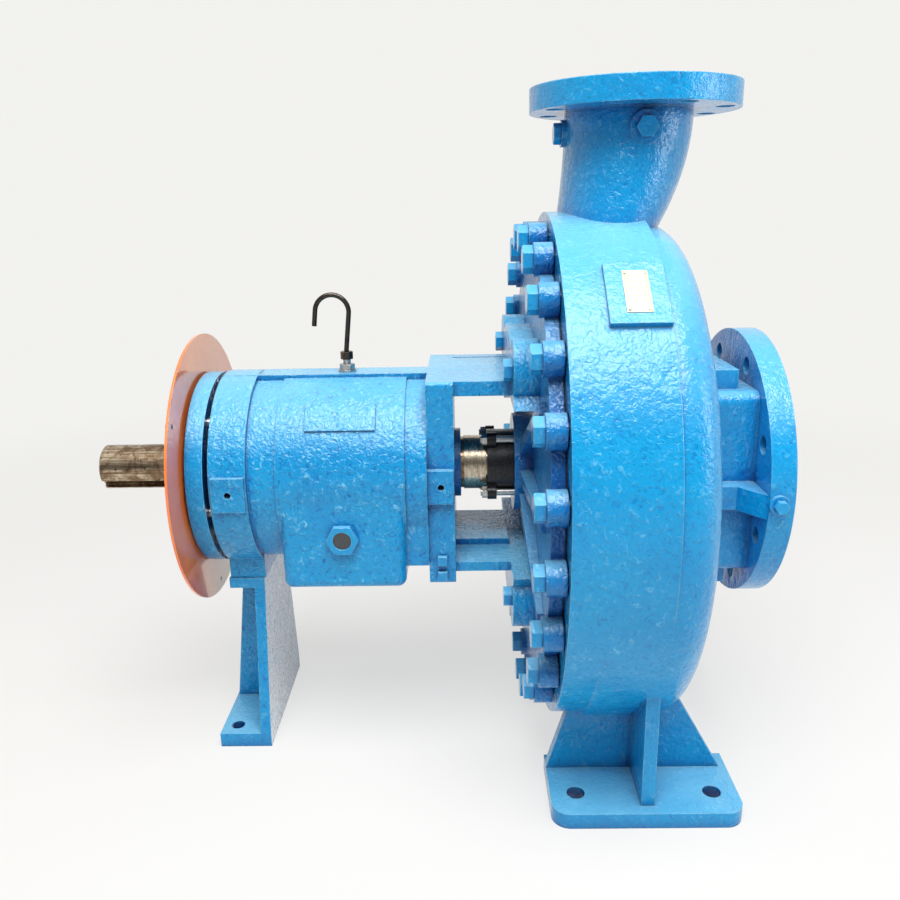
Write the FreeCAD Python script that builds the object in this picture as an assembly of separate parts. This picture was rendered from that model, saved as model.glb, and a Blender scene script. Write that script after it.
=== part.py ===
import FreeCAD
import Part
import math
import os

# Horizontal end-suction pump with a back pull-out bearing frame, in millimetres.
# Origin: centre of the suction flange face, on the shaft axis.
# +X out of the suction, +Z up to the discharge.
# The drive end of the shaft points to -X.

V = FreeCAD.Vector

# ---- pump centre lines ----
axis_height = 373.0            # shaft axis above the base plate
discharge_x = -173.0           # discharge centre line, behind the suction face
discharge_height = 472.0       # discharge face above the shaft axis

# ---- flanges ----
suction_flange_radius = 176.0
suction_flange_thick = 30.0
suction_bore_radius = 101.5
suction_bolt_circle_radius = 149.25
discharge_flange_radius = 127.0
discharge_flange_thick = 28.0
discharge_bore_radius = 63.5
discharge_bore_length = 16.0
discharge_bolt_circle_radius = 107.95
flange_hole_radius = 11.2
flange_hole_count = 8

# ---- volute casing ----
casing_face_x = -280.0         # machined face that takes the seal chamber cover
band_radius = 328.0
band_width = 110.0
band_rise = 8.0                # the band stands out from the first quarter of the scroll
volute_growth = 12.0           # growth of the scroll in each quarter turn
volute_inset = 34.0            # from the machined face to the volute's left side
volute_right_x = -121.0
volute_wall = 15.0
volute_round = 42.0            # the soft shoulder on the suction side
volute_left_round = 11.0
chamber_round = 8.0
cover_bore_radius = 262.0
nozzle_half_side = 116.0       # the squared suction hub between the casing and its flange
nozzle_corner = 14.0
hub_step_rise = 24.0           # cast blocks above and below the squared hub
hub_step_half_width = 92.0
hub_step_gap = 20.0            # from the blocks to the back of the suction flange
hub_crest_rise = 46.0
hub_crest_half_width = 36.0
hub_crest_gap = 40.0
neck_top_radius = 77.5
neck_wall = 12.0
neck_offset = 6.0              # the cast neck sits this far to the drive side of its flange
neck_lean = 33.0               # how far the neck leans on to the drive side at its root
neck_root_half_length = 58.0
neck_root_half_width = 98.0
neck_root_height = 285.0
bore_ledge = 1.5               # machined step where the neck's passage meets the flange bore
name_pad_length = 64.0
name_pad_angle = 48.5
name_pad_spread = 15.0
name_pad_rise = 4.0
nameplate_length = 27.0
nameplate_height = 58.0
nameplate_thick = 1.0

# ---- casing feet ----
foot_length = 228.0
foot_thick = 20.0
foot_outer_y = 272.0
foot_inner_y = 158.0
foot_corner = 22.0
foot_web_y = 185.0
foot_web_thick = 14.0
foot_web_top_length = 114.0
foot_web_shift = 20.0           # the web's top sits this far towards the drive end
foot_web_step = 9.0
foot_web_top = 232.0           # below the shaft axis
foot_rib_thick = 16.0
foot_rib_y = 258.0
foot_hole_radius = 11.0
foot_hole_spacing_x = 165.0
foot_hole_y = 233.0

# ---- seal chamber cover ----
gasket_thick = 1.5
cover_plate_thick = 15.5
cover_plate_radius = 289.0
cover_spigot_radius = 261.7
cover_bolt_count = 24
cover_bolt_circle_radius = 299.0
lug_radius = 19.5
lug_length = 22.0
hub_rise = 23.0                # the seal hub beyond the cover's plate
hub_radius = 66.0
hub_rib_angles = (0.0, 30.0, -30.0, 150.0, 180.0, 210.0)
hub_rib_reach = 250.0
hub_rib_thick = 14.0
seal_bore_radius = 43.0
cover_spigot_length = 16.0

# ---- bolts ----
cover_bolt_radius = 9.5
cover_bolt_flats = 28.6
cover_bolt_head = 12.6
cover_bolt_reach = 24.0
hole_play = 0.6
frame_bolt_radius = 8.0
frame_bolt_flats = 24.0
frame_bolt_head = 10.5
frame_bolt_reach = 12.0
foot_bolt_radius = 6.0
foot_bolt_flats = 18.0
foot_bolt_head = 7.5
foot_bolt_reach = 18.0
foot_bolt_inset = 14.0
foot_bolt_y = 45.0

# ---- bearing frame ----
ring_width = 46.0
ring_radius = 130.0
collar_radius = 123.0
collar_length = 35.0
sump_length = 160.0
barrel_radius = 125.5
sump_side_inset = 1.0          # the flat sides lie just inside the barrel
sump_drop = 4.5                # the flat bottom below the barrel
sump_round = 11.0
neck_inset = 4.0
frame_neck_half_width = 110.0
frame_neck_depth = 105.0
frame_neck_length = 27.0
end_block_width = 34.0
end_block_half_width = 104.0
end_block_top = 131.5
end_block_bottom = 133.0
end_block_round = 5.0
oil_space_radius = 104.0
labyrinth_seat = 22.0
window_length = 71.0           # the open window around the shaft seal
arm_half_width = 97.0
top_arm_thick = 18.5
bottom_arm_top = 106.0         # below the shaft axis
bottom_arm_thick = 13.0
bottom_rib_half_width = 40.0
bottom_rib_rise = 9.0
arm_slot_y = 74.0
arm_slot_width = 5.0
arm_slot_depth = 5.0
adapter_thick = 30.0
adapter_inner_radius = 108.0
adapter_outer_radius = 186.0
ear_angle = 52.5
ear_circle_radius = 186.0
ear_radius = 38.0
frame_pad_height = 44.0
frame_pad_rise = 8.0
end_pad_overhang = 20.0
frame_pad_depth = 40.0
pad_hole_radius = 4.0
pad_hole_depth = 16.0
top_rib_half_width = 22.0
top_rib_rise = 3.0
cast_panel_length = 88.0
cast_panel_angle = 44.0
cast_panel_spread = 18.0
cast_panel_rise = 3.0
mount_block_half_width = 70.0
mount_block_drop = 7.0         # below the drive end ring

# ---- frame foot ----
frame_foot_overhang = 25.0     # beyond the drive end ring
frame_foot_length = 70.0
frame_foot_half_width = 106.0
frame_foot_top_half_width = 72.0
frame_foot_base_thick = 20.0
frame_foot_top_thick = 14.0
frame_foot_top_length = 47.0
frame_foot_web_thick = 14.0
frame_foot_rib_thick = 16.0
frame_foot_hole_radius = 9.0
frame_foot_hole_inset = 20.0
frame_foot_hole_y = 85.0

# ---- bearing housing, sliding in the frame for impeller clearance ----
housing_gap = 7.0
housing_flange_thick = 22.0
housing_flange_radius = 128.5
housing_sleeve_radius = 90.0
housing_sleeve_length = 98.0
slide_clearance = 0.05
fit_clearance = 0.03
outboard_bearing_radius = 70.0
outboard_bearing_width = 33.0
outboard_bearing_inset = 3.0
outboard_bearing_bore = 32.5
end_cover_radius = 84.0
end_cover_thick = 3.5
guard_plate_radius = 179.7
guard_plate_thick = 3.0
guard_plate_bore = 40.0
guard_screw_radius = 3.0
screw_hole_play = 0.4
guard_screw_circle = 77.0
guard_screw_reach = 14.0
guard_screw_head = 4.0
guard_rim_screw_circle = 166.0
guard_rim_angles = (33.0, 153.0, 273.0)
adjust_circle_radius = 113.0
adjust_angles = (45.0, 165.0, 285.0)
adjust_tip_gap = 1.2
clamp_angles = (105.0, 225.0, 345.0)
clamp_reach = 20.0
clamp_pocket = 13.0
clamp_head_gap = 2.0
clamp_head_radius = 8.5
clamp_bolt_radius = 6.0
clamp_head_height = 8.0
locknut_width = 9.0
locknut_radius = 44.0
thrust_pitch_radius = 51.0
thrust_roller_radius = 6.5
thrust_roller_length = 20.0
thrust_roller_count = 12
roller_tilt = 14.0
roller_taper = 1.8

# ---- shaft and rotor ----
shaft_drive_length = 148.0     # beyond the bearing housing
shaft_drive_radius = 30.0
shaft_cover_radius = 31.0
shaft_step_gap = 4.5           # from the guard plate to the shoulder of the drive journal
shaft_body_radius = 42.0
shaft_seal_radius = 27.0
shaft_inboard_radius = 37.5
keyway_width = 16.0
keyway_depth = 6.5
keyway_length = 118.0
keyway_angle = -40.0
shaft_labyrinth_radius = 35.0
shaft_clear_radius = 40.0
seal_step_gap = 4.0            # from the labyrinth to the seal sleeve
shaft_stud_radius = 16.0
shaft_stud_length = 22.0
inboard_ring_section = 7.0
roller_count = 12
inboard_bearing_radius = 65.0
inboard_bearing_width = 25.0
inboard_bearing_inset = 8.0
bearing_relief = 2.5           # recess that the moving inner ring slides into
labyrinth_radius = 46.6
labyrinth_reach = 8.0
running_clearance = 0.06
seal_collar_radius = 36.5
seal_collar_length = 29.5
collar_screw_radius = 3.0
collar_screw_inset = 24.0
collar_screw_count = 3
collar_screw_start = 45.0
seal_sleeve_radius = 31.5
gland_flange_radius = 44.5
gland_ear_circle = 50.0
gland_ear_radius = 9.5
gland_length = 35.0
gland_ear_thick = 12.0
gland_stud_radius = 4.8
gland_stud_reach = 18.0
gland_sleeve_gap = 0.9
gland_nut_flats = 14.0
gland_nut_height = 7.0
gland_first_angle = 52.0
impeller_radius = 216.0
impeller_back_gap = 6.0
impeller_shroud = 12.0
impeller_eye_radius = 98.0
impeller_hub_length = 68.0
impeller_hub_radius = 52.0
impeller_nut_flats = 50.0
vane_count = 4
vane_thick = 14.0
vane_front_gap = 1.2
vane_sweep = 55.0
sideplate_thick = 9.0

# ---- small fittings ----
plug_flats = 22.0
plug_boss_radius = 19.0
side_boss_radius = 16.0
plug_boss_rise = 5.0           # boss faces beyond the neck
plug_drop = 24.0               # below the discharge flange
plug_thread_radius = 9.0
plug_thread_length = 14.0
plug_head = 9.0
gauge_boss_x = -19.0
gauge_boss_rise = 4.0
gauge_boss_length = 40.0
gauge_boss_z = -5.0
gauge_boss_radius = 12.0
gauge_plug_radius = 6.0
gauge_web_thick = 30.0
gauge_web_drop = 20.0           # the web's underside below the boss's middle
gauge_web_reach = 20.0
gauge_web_slope = 26.0
gauge_web_sink = 5.0
hub_root = 40.0                # how far the hub's pieces run into the casing's shoulder
gauge_plug_flats = 14.0
frame_plug_heights = (-100.0, -121.0)
frame_plug_half_side = 6.0
frame_plug_head = 7.0
frame_plug_thread_radius = 4.5
frame_plug_thread_length = 10.0
breather_thread_length = 18.0
breather_hex_flats = 17.5
breather_nut_flats = 14.3
breather_washer_radius = 12.0
breather_bore_radius = 2.2
breather_neck_radius = 5.0
breather_tube_radius = 3.2
breather_tube_wall = 1.0
breather_rise = 48.0
breather_lean = 6.3
breather_bend_radius = 22.0
breather_drop = 20.6
breather_thread_radius = 4.5
breather_washer_thick = 2.2
breather_hex_height = 7.5
breather_neck_height = 6.5
breather_nut_height = 10.0
glass_z = -61.5
glass_flats = 36.0
glass_radius = 11.5
glass_rim = 8.0
glass_thread_radius = 14.0
glass_thread_length = 17.0

band_right_x = casing_face_x + band_width
volute_left_x = casing_face_x + volute_inset
volute_radius = band_radius - band_rise
chamber_left_x = volute_left_x + volute_wall
cover_face_x = casing_face_x - gasket_thick
lug_left_x = cover_face_x - lug_length
adapter_face_x = cover_face_x - cover_plate_thick
adapter_left_x = adapter_face_x - adapter_thick
hub_face_x = adapter_face_x - hub_rise
cover_spigot_x = casing_face_x + cover_spigot_length
end_block_right_x = adapter_left_x - window_length
end_block_left_x = end_block_right_x - end_block_width
sump_right_x = end_block_left_x - frame_neck_length
sump_left_x = sump_right_x - sump_length
sump_middle_x = sump_right_x - sump_length / 2.0
sump_half_width = barrel_radius - sump_side_inset
sump_depth = barrel_radius + sump_drop
neck_radius = barrel_radius - neck_inset
ring_right_x = sump_left_x - collar_length
ring_left_x = ring_right_x - ring_width
top_rib_height = barrel_radius + top_rib_rise
mount_block_bottom = ring_radius + mount_block_drop
foot_centre_x = discharge_x
housing_flange_right_x = ring_left_x - housing_gap
housing_flange_left_x = housing_flange_right_x - housing_flange_thick
sideplate_right_x = volute_right_x - volute_wall
sideplate_left_x = sideplate_right_x - sideplate_thick
gland_left_x = hub_face_x - gland_length
outboard_bearing_x = housing_flange_right_x + outboard_bearing_inset
guard_plate_x = housing_flange_left_x - end_cover_thick - guard_plate_thick
shaft_end_x = housing_flange_left_x - shaft_drive_length
shaft_step_x = guard_plate_x - shaft_step_gap
inboard_bearing_x = end_block_left_x - inboard_bearing_inset
shaft_seal_step_x = end_block_right_x + labyrinth_reach + seal_step_gap
collar_screw_x = shaft_seal_step_x + collar_screw_inset
impeller_back_x = cover_spigot_x + impeller_back_gap
impeller_front_x = impeller_back_x + impeller_hub_length
frame_foot_left_x = ring_left_x - frame_foot_overhang
frame_foot_hole_x = frame_foot_left_x + frame_foot_hole_inset
frame_foot_top_left_x = frame_foot_left_x + frame_foot_length - frame_foot_top_length
plug_height = discharge_height - discharge_flange_thick - plug_drop
front_boss_y = neck_top_radius + plug_boss_rise
side_boss_reach = neck_offset + neck_top_radius + plug_boss_rise
gauge_boss_y = suction_flange_radius + gauge_boss_rise
vane_left_x = impeller_back_x + impeller_shroud
vane_right_x = sideplate_left_x - vane_front_gap
ear_angles = (ear_angle, 180.0 - ear_angle, 180.0 + ear_angle, 360.0 - ear_angle)
gland_angles = tuple(gland_first_angle + 90.0 * i for i in range(4))
guard_screw_angles = tuple(45.0 + 90.0 * i for i in range(4))
X_AXIS = V(1, 0, 0)


# ---------------------------------------------------------------- helpers
def rod(x0, x1, radius, y=0.0, z=0.0):
    """A cylinder along X."""
    return Part.makeCylinder(radius, x1 - x0, V(x0, y, z), X_AXIS)


def tube(x0, x1, outer, inner):
    return rod(x0, x1, outer).cut(rod(x0 - 1, x1 + 1, inner))


def block(x0, x1, y0, y1, z0, z1):
    return Part.makeBox(x1 - x0, y1 - y0, z1 - z0, V(x0, y0, z0))


def join(shapes):
    result = shapes[0]
    for shape in shapes[1:]:
        result = result.fuse(shape)
    return result.removeSplitter()


def turned(shape, angle):
    """A copy turned about the shaft axis; 0 is the -Y side, 90 is the top."""
    copy = shape.copy()
    copy.rotate(V(0, 0, 0), X_AXIS, -angle)
    return copy


def ring_of(shape, count, start):
    return [turned(shape, start + 360.0 / count * i) for i in range(count)]


def on_circle(radius, angle):
    """Y and Z of a point on a circle about the shaft; 0 is the -Y side, 90 is the top."""
    turn = math.radians(angle)
    return -radius * math.cos(turn), radius * math.sin(turn)


def plate(points, thick, direction):
    """A flat plate from its corner points, pushed along a direction."""
    face = Part.Face(Part.makePolygon(points + [points[0]]))
    return face.extrude(direction * thick)


def hexagon(flats, height, place, direction):
    """A hexagonal prism with its corners a little bevelled at the far end."""
    across = flats / math.sqrt(3.0)
    corners = [V(across * math.cos(math.radians(60 * i)), across * math.sin(math.radians(60 * i)), 0) for i in range(7)]
    prism = Part.Face(Part.makePolygon(corners)).extrude(V(0, 0, height))
    bevel = Part.makeCone(across + height * 0.9, across * 0.93, height + 0.01)
    prism = prism.common(bevel)
    prism.Placement = FreeCAD.Placement(place, FreeCAD.Rotation(V(0, 0, 1), direction))
    return prism


def save(name, shape):
    solids = shape if isinstance(shape, list) else [shape]
    for solid in solids:
        if solid.isNull() or not solid.isValid():
            raise ValueError(name + " is not a valid solid")
    result = solids[0] if len(solids) == 1 else Part.makeCompound(solids)
    result.exportStep("parts/" + name + ".step")
    print(name, len(result.Solids), round(result.Volume / 1000.0, 1), "cm3")


# ---------------------------------------------------------------- casing
def scroll(left_x, right_x, inset, left_round, right_round):
    """The volute: three growing quarter turns of one rounded profile, a fourth that closes it, and the flat between."""
    half = volute_growth / 2.0
    top = volute_radius - half
    far = volute_radius + 2 * volute_growth + half
    centres = [(-half, -half), (half, -half), (half, half), (far - top + half, half)]
    radii = [volute_radius, volute_radius + volute_growth, volute_radius + 2 * volute_growth, top - half]
    crown = rounded_profile(left_x, right_x, top - inset, left_round, right_round)
    crown.translate(V(0, -half, 0))
    sectors = [crown.extrude(V(0, far - top + 2 * half, 0))]
    for i, (y, z) in enumerate(centres):
        profile = rounded_profile(left_x, right_x, radii[i] - inset, left_round, right_round)
        sector = profile.revolve(V(0, 0, 0), X_AXIS, 90)
        sector.rotate(V(0, 0, 0), X_AXIS, 90 * i)
        sector.translate(V(0, y, z))
        sectors.append(sector)
    return join(sectors + [block(left_x, right_x, -half, half, -half, half)])


def rounded_profile(left_x, right_x, radius, left_round, right_round):
    """Half section of a drum about the X axis, with its two outer corners rounded."""
    lean = math.sqrt(0.5)
    a = V(left_x, 0, radius - left_round)
    b = V(left_x + left_round * (1 - lean), 0, radius - left_round * (1 - lean))
    c = V(left_x + left_round, 0, radius)
    d = V(right_x - right_round, 0, radius)
    e = V(right_x - right_round * (1 - lean), 0, radius - right_round * (1 - lean))
    f = V(right_x, 0, radius - right_round)
    start = V(left_x, 0, 0)
    end = V(right_x, 0, 0)
    edges = [Part.makeLine(start, a), Part.Arc(a, b, c).toShape(), Part.makeLine(c, d),
             Part.Arc(d, e, f).toShape(), Part.makeLine(f, end), Part.makeLine(end, start)]
    return Part.Face(Part.Wire(edges))


def neck_loft(wall, top_radius, top_z):
    """The discharge neck, leaning from the flange to the middle of the casing."""
    drop = top_z - neck_root_height
    wires = []
    for share in (0.0, 0.33, 0.68, 1.0):
        height = top_z - drop * share
        centre = discharge_x - neck_offset - neck_lean * share ** 2
        half_length = top_radius + (neck_root_half_length - wall - top_radius) * share ** 2
        half_width = top_radius + 0.01 + (neck_root_half_width - wall - top_radius) * share
        middle = V(centre, 0, height)
        oval = Part.Ellipse(V(centre, half_width, height), V(centre + half_length, 0, height), middle)
        wires.append(Part.Wire(oval.toShape()))
    return Part.makeLoft(wires, True, False)


def flange_holes(circle_radius, depth):
    """Bolt holes of a pipe flange about the X axis, straddling the centre lines."""
    start = 180.0 / flange_hole_count
    hole = rod(-depth - 1, 1, flange_hole_radius, *on_circle(circle_radius, 0))
    return ring_of(hole, flange_hole_count, start)


def casing_foot():
    """One side of the casing feet: base plate, cross web and the rib under the casing."""
    x0 = foot_centre_x - foot_length / 2.0
    x1 = foot_centre_x + foot_length / 2.0
    floor = -axis_height
    top = floor + foot_thick
    base = block(x0, x1, -foot_outer_y, -foot_inner_y, floor, top)
    corners = [e for e in base.Edges if abs(e.Length - foot_thick) < 0.01 and e.CenterOfMass.y < -foot_inner_y - 1]
    base = base.makeFillet(foot_corner, corners)
    web_left = foot_centre_x - foot_web_top_length / 2.0 - foot_web_shift
    web_right = foot_centre_x + foot_web_top_length / 2.0 - foot_web_shift
    web = plate([V(x0, -foot_web_y, top), V(x1 - foot_web_step, -foot_web_y, top),
                 V(web_right, -foot_web_y, -foot_web_top), V(web_left, -foot_web_y, -foot_web_top)],
                foot_web_thick, V(0, 1, 0))
    rib_x = foot_centre_x - foot_rib_thick / 2.0
    inside = band_radius - 8.0
    rib_top = -math.sqrt(inside ** 2 - foot_rib_y ** 2)
    rib = plate([V(rib_x, -foot_rib_y, top), V(rib_x, -foot_rib_y, rib_top),
                 V(rib_x, -foot_inner_y * 0.7, -math.sqrt(inside ** 2 - (foot_inner_y * 0.7) ** 2)),
                 V(rib_x, -foot_inner_y, top)], foot_rib_thick, X_AXIS)
    return join([base, web, rib])


def name_pad():
    half = band_radius * math.radians(name_pad_spread) / 2.0
    pad = block(-name_pad_length, 0, -half, half, 0, name_pad_rise + 12.0)
    pad.translate(V(band_right_x - 2.0, 0, band_radius - 12.0))
    pad.rotate(V(0, 0, 0), X_AXIS, 90 - name_pad_angle)
    return pad


def hub_block(half_width, rise, gap):
    """A cast block that stands above and below the squared hub."""
    reach = nozzle_half_side + rise
    return block(volute_right_x - hub_root, -suction_flange_thick - gap, -half_width, half_width, -reach, reach)


def suction_hub():
    """The squared nozzle between the casing and the suction flange, its blocks, and the web to its gauge boss."""
    side = nozzle_half_side
    root_x = volute_right_x - hub_root
    hub = block(root_x, -suction_flange_thick, -side, side, -side, side)
    long_edges = [e for e in hub.Edges if abs(abs(e.tangentAt(e.FirstParameter).x) - 1) < 1e-6]
    hub = hub.makeFillet(nozzle_corner, long_edges)
    web_z = gauge_boss_z - gauge_web_drop
    web = plate([V(root_x, -side + gauge_web_sink, web_z), V(root_x, -side - gauge_web_reach, web_z),
                 V(-suction_flange_thick - gauge_web_slope, -side - gauge_web_reach, web_z),
                 V(-suction_flange_thick, -suction_flange_radius + gauge_web_sink, web_z),
                 V(-suction_flange_thick, -side + gauge_web_sink, web_z)], gauge_web_thick, V(0, 0, 1))
    return [hub, web, hub_block(hub_step_half_width, hub_step_rise, hub_step_gap),
            hub_block(hub_crest_half_width, hub_crest_rise, hub_crest_gap)]


def volute_casing():
    floor_side = casing_foot()
    other_side = floor_side.mirror(V(0, 0, 0), V(0, 1, 0))
    flange = Part.makeCylinder(discharge_flange_radius, discharge_flange_thick,
                               V(discharge_x, 0, discharge_height - discharge_flange_thick))
    underside = discharge_height - discharge_flange_thick
    plug_place = V(discharge_x, 0, plug_height)
    front_boss = Part.makeCylinder(plug_boss_radius, front_boss_y, plug_place, V(0, -1, 0))
    side_boss = Part.makeCylinder(side_boss_radius, side_boss_reach, plug_place, V(-1, 0, 0))
    gauge_boss = Part.makeCylinder(gauge_boss_radius, gauge_boss_length, V(gauge_boss_x, -gauge_boss_y, gauge_boss_z),
                                   V(0, 1, 0))
    body = join([rod(casing_face_x, band_right_x, band_radius),
                 scroll(volute_left_x, volute_right_x, 0.0, volute_left_round, volute_round),
                 neck_loft(0.0, neck_top_radius, underside), flange, front_boss, side_boss,
                 rod(-suction_flange_thick, 0, suction_flange_radius), gauge_boss,
                 floor_side, other_side, name_pad()] + suction_hub())
    chamber = scroll(chamber_left_x, sideplate_right_x, volute_wall, chamber_round, volute_round - volute_wall)
    passage = neck_loft(neck_wall, neck_top_radius - neck_wall, underside)
    taper_height = discharge_flange_thick - discharge_bore_length
    taper = Part.makeCone(neck_top_radius - neck_wall + bore_ledge, discharge_bore_radius, taper_height,
                          V(discharge_x, 0, underside))
    mouth = Part.makeCylinder(discharge_bore_radius, discharge_bore_length + 1,
                              V(discharge_x, 0, discharge_height - discharge_bore_length))
    tools = [chamber, passage, taper.fuse(mouth), rod(casing_face_x - 1, chamber_left_x + 1, cover_bore_radius),
             rod(sideplate_right_x - 1, 1, suction_bore_radius)]
    tools += flange_holes(suction_bolt_circle_radius, suction_flange_thick + 6.0)
    for i in range(flange_hole_count):
        turn = math.radians(360.0 / flange_hole_count * (i + 0.5))
        place = V(discharge_x + discharge_bolt_circle_radius * math.cos(turn),
                  discharge_bolt_circle_radius * math.sin(turn), underside - 1)
        tools.append(Part.makeCylinder(flange_hole_radius, discharge_flange_thick + 2, place))
    tapped = rod(casing_face_x - 1, casing_face_x + cover_bolt_reach + 2.0, cover_bolt_radius + fit_clearance,
                 *on_circle(cover_bolt_circle_radius, 0))
    tools += ring_of(tapped, cover_bolt_count, 180.0 / cover_bolt_count)
    for x in (-foot_hole_spacing_x / 2.0, foot_hole_spacing_x / 2.0):
        for y in (-foot_hole_y, foot_hole_y):
            tools.append(Part.makeCylinder(foot_hole_radius, foot_thick + 2, V(foot_centre_x + x, y, -axis_height - 1)))
    thread = plug_thread_radius + fit_clearance
    for x, y, inwards in ((0, -front_boss_y, V(0, 1, 0)), (-side_boss_reach, 0, X_AXIS)):
        mouth_place = plug_place + V(x, y, 0) - inwards
        tools.append(Part.makeCylinder(thread, plug_thread_length + 2, mouth_place, inwards))
    tools.append(Part.makeCylinder(gauge_plug_radius + fit_clearance, plug_thread_length + 1,
                                   V(gauge_boss_x, -gauge_boss_y - 0.5, gauge_boss_z), V(0, 1, 0)))
    return body.cut(tools)


def nameplate():
    half = nameplate_height / 2.0
    sheet = block(-nameplate_length / 2.0, nameplate_length / 2.0, -half, half, 0, nameplate_thick)
    sheet.translate(V(band_right_x - 2.0 - name_pad_length / 2.0, 0, band_radius + name_pad_rise))
    sheet.rotate(V(0, 0, 0), X_AXIS, 90 - name_pad_angle)
    return sheet


def suction_sideplate():
    return tube(sideplate_left_x, sideplate_right_x, impeller_radius + 14.0, suction_bore_radius)


def casing_gasket():
    return tube(cover_face_x, casing_face_x, cover_plate_radius - 3.0, cover_bore_radius)


# ---------------------------------------------------------------- plugs
def pipe_plug(place, direction, thread_radius, flats):
    """A hexagon head plug; place is where its head meets the boss, direction points outwards."""
    head = hexagon(flats, plug_head, place, direction)
    thread = Part.makeCylinder(thread_radius, plug_thread_length, place - direction * plug_thread_length, direction)
    return join([head, thread])


def frame_plugs():
    """Two small square-head plugs low on the end block."""
    x = end_block_left_x + end_block_width / 2.0
    face_y = -end_block_half_width
    side = frame_plug_half_side
    plugs = []
    for z in frame_plug_heights:
        head = block(x - side, x + side, face_y - frame_plug_head, face_y, z - side, z + side)
        thread = Part.makeCylinder(frame_plug_thread_radius, frame_plug_thread_length, V(x, face_y, z), V(0, 1, 0))
        plugs.append(join([head, thread]))
    return plugs


# ---------------------------------------------------------------- cover
def seal_chamber_cover():
    lug = rod(lug_left_x, cover_face_x, lug_radius, *on_circle(cover_bolt_circle_radius, 0))
    start = 180.0 / cover_bolt_count
    plate_left_x = cover_face_x - cover_plate_thick
    parts = [rod(plate_left_x, cover_face_x, cover_plate_radius), rod(cover_face_x, cover_spigot_x, cover_spigot_radius),
             rod(hub_face_x, cover_face_x, hub_radius)]
    parts += ring_of(lug, cover_bolt_count, start)
    for angle in hub_rib_angles:
        rib = plate([V(hub_face_x + 6.0, -hub_radius + 8, -hub_rib_thick / 2.0),
                     V(plate_left_x - 7.0, -hub_rib_reach, -hub_rib_thick / 2.0),
                     V(plate_left_x + 1.0, -hub_rib_reach, -hub_rib_thick / 2.0),
                     V(plate_left_x + 1.0, -hub_radius + 8, -hub_rib_thick / 2.0)], hub_rib_thick, V(0, 0, 1))
        parts.append(turned(rib, angle))
    cover = join(parts)
    hole = rod(lug_left_x - 1, cover_face_x + 1, cover_bolt_radius + hole_play, *on_circle(cover_bolt_circle_radius, 0))
    tools = ring_of(hole, cover_bolt_count, start) + [rod(hub_face_x - 1, cover_spigot_x + 1, seal_bore_radius)]
    for angle in ear_angles:
        tools.append(rod(adapter_face_x - 1, adapter_face_x + frame_bolt_reach + 1, frame_bolt_radius + fit_clearance,
                         *on_circle(ear_circle_radius, angle)))
    for angle in gland_angles:
        tools.append(rod(hub_face_x - 1, hub_face_x + gland_stud_reach + 1, gland_stud_radius + fit_clearance,
                         *on_circle(gland_ear_circle, angle)))
    return cover.cut(tools)


def bolt(head_x, tip_x, radius, flats, head, circle, angle):
    """A hexagon bolt along +X whose head bears at head_x."""
    y, z = on_circle(circle, angle)
    return join([hexagon(flats, head, V(head_x, y, z), V(-1, 0, 0)), rod(head_x, tip_x, radius, y, z)])


def cover_bolts():
    start = 180.0 / cover_bolt_count
    return [bolt(lug_left_x, casing_face_x + cover_bolt_reach, cover_bolt_radius, cover_bolt_flats, cover_bolt_head,
                 cover_bolt_circle_radius, start + 360.0 / cover_bolt_count * i) for i in range(cover_bolt_count)]


def adapter_bolts():
    return [bolt(adapter_left_x, adapter_face_x + frame_bolt_reach, frame_bolt_radius, frame_bolt_flats,
                 frame_bolt_head, ear_circle_radius, angle) for angle in ear_angles]


# ---------------------------------------------------------------- bearing frame
def sump_box(left_x, right_x, half_width, depth, radius):
    """The flat-sided lower half of the frame, its edges rounded."""
    box = block(left_x, right_x, -half_width, half_width, -depth, 0)
    edges = [e for e in box.Edges if e.CenterOfMass.z < -1 and abs(e.CenterOfMass.z + depth / 2.0) < 0.01]
    bottom = [e for e in box.Edges if abs(e.CenterOfMass.z + depth) < 0.01]
    return box.makeFillet(radius, edges + bottom)


def adapter_flange():
    """The two bone-shaped flange pieces, above and below, that bolt to the seal chamber cover."""
    ring = tube(adapter_left_x, adapter_face_x, adapter_outer_radius, adapter_inner_radius)
    reach = adapter_outer_radius + 5.0
    side_cut = block(adapter_left_x - 1, adapter_face_x + 1, -reach, reach, -bottom_arm_top, bottom_arm_top)
    ears = [rod(adapter_left_x, adapter_face_x, ear_radius, *on_circle(ear_circle_radius, a)) for a in ear_angles]
    return join([ring.cut(side_cut)] + ears)


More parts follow.
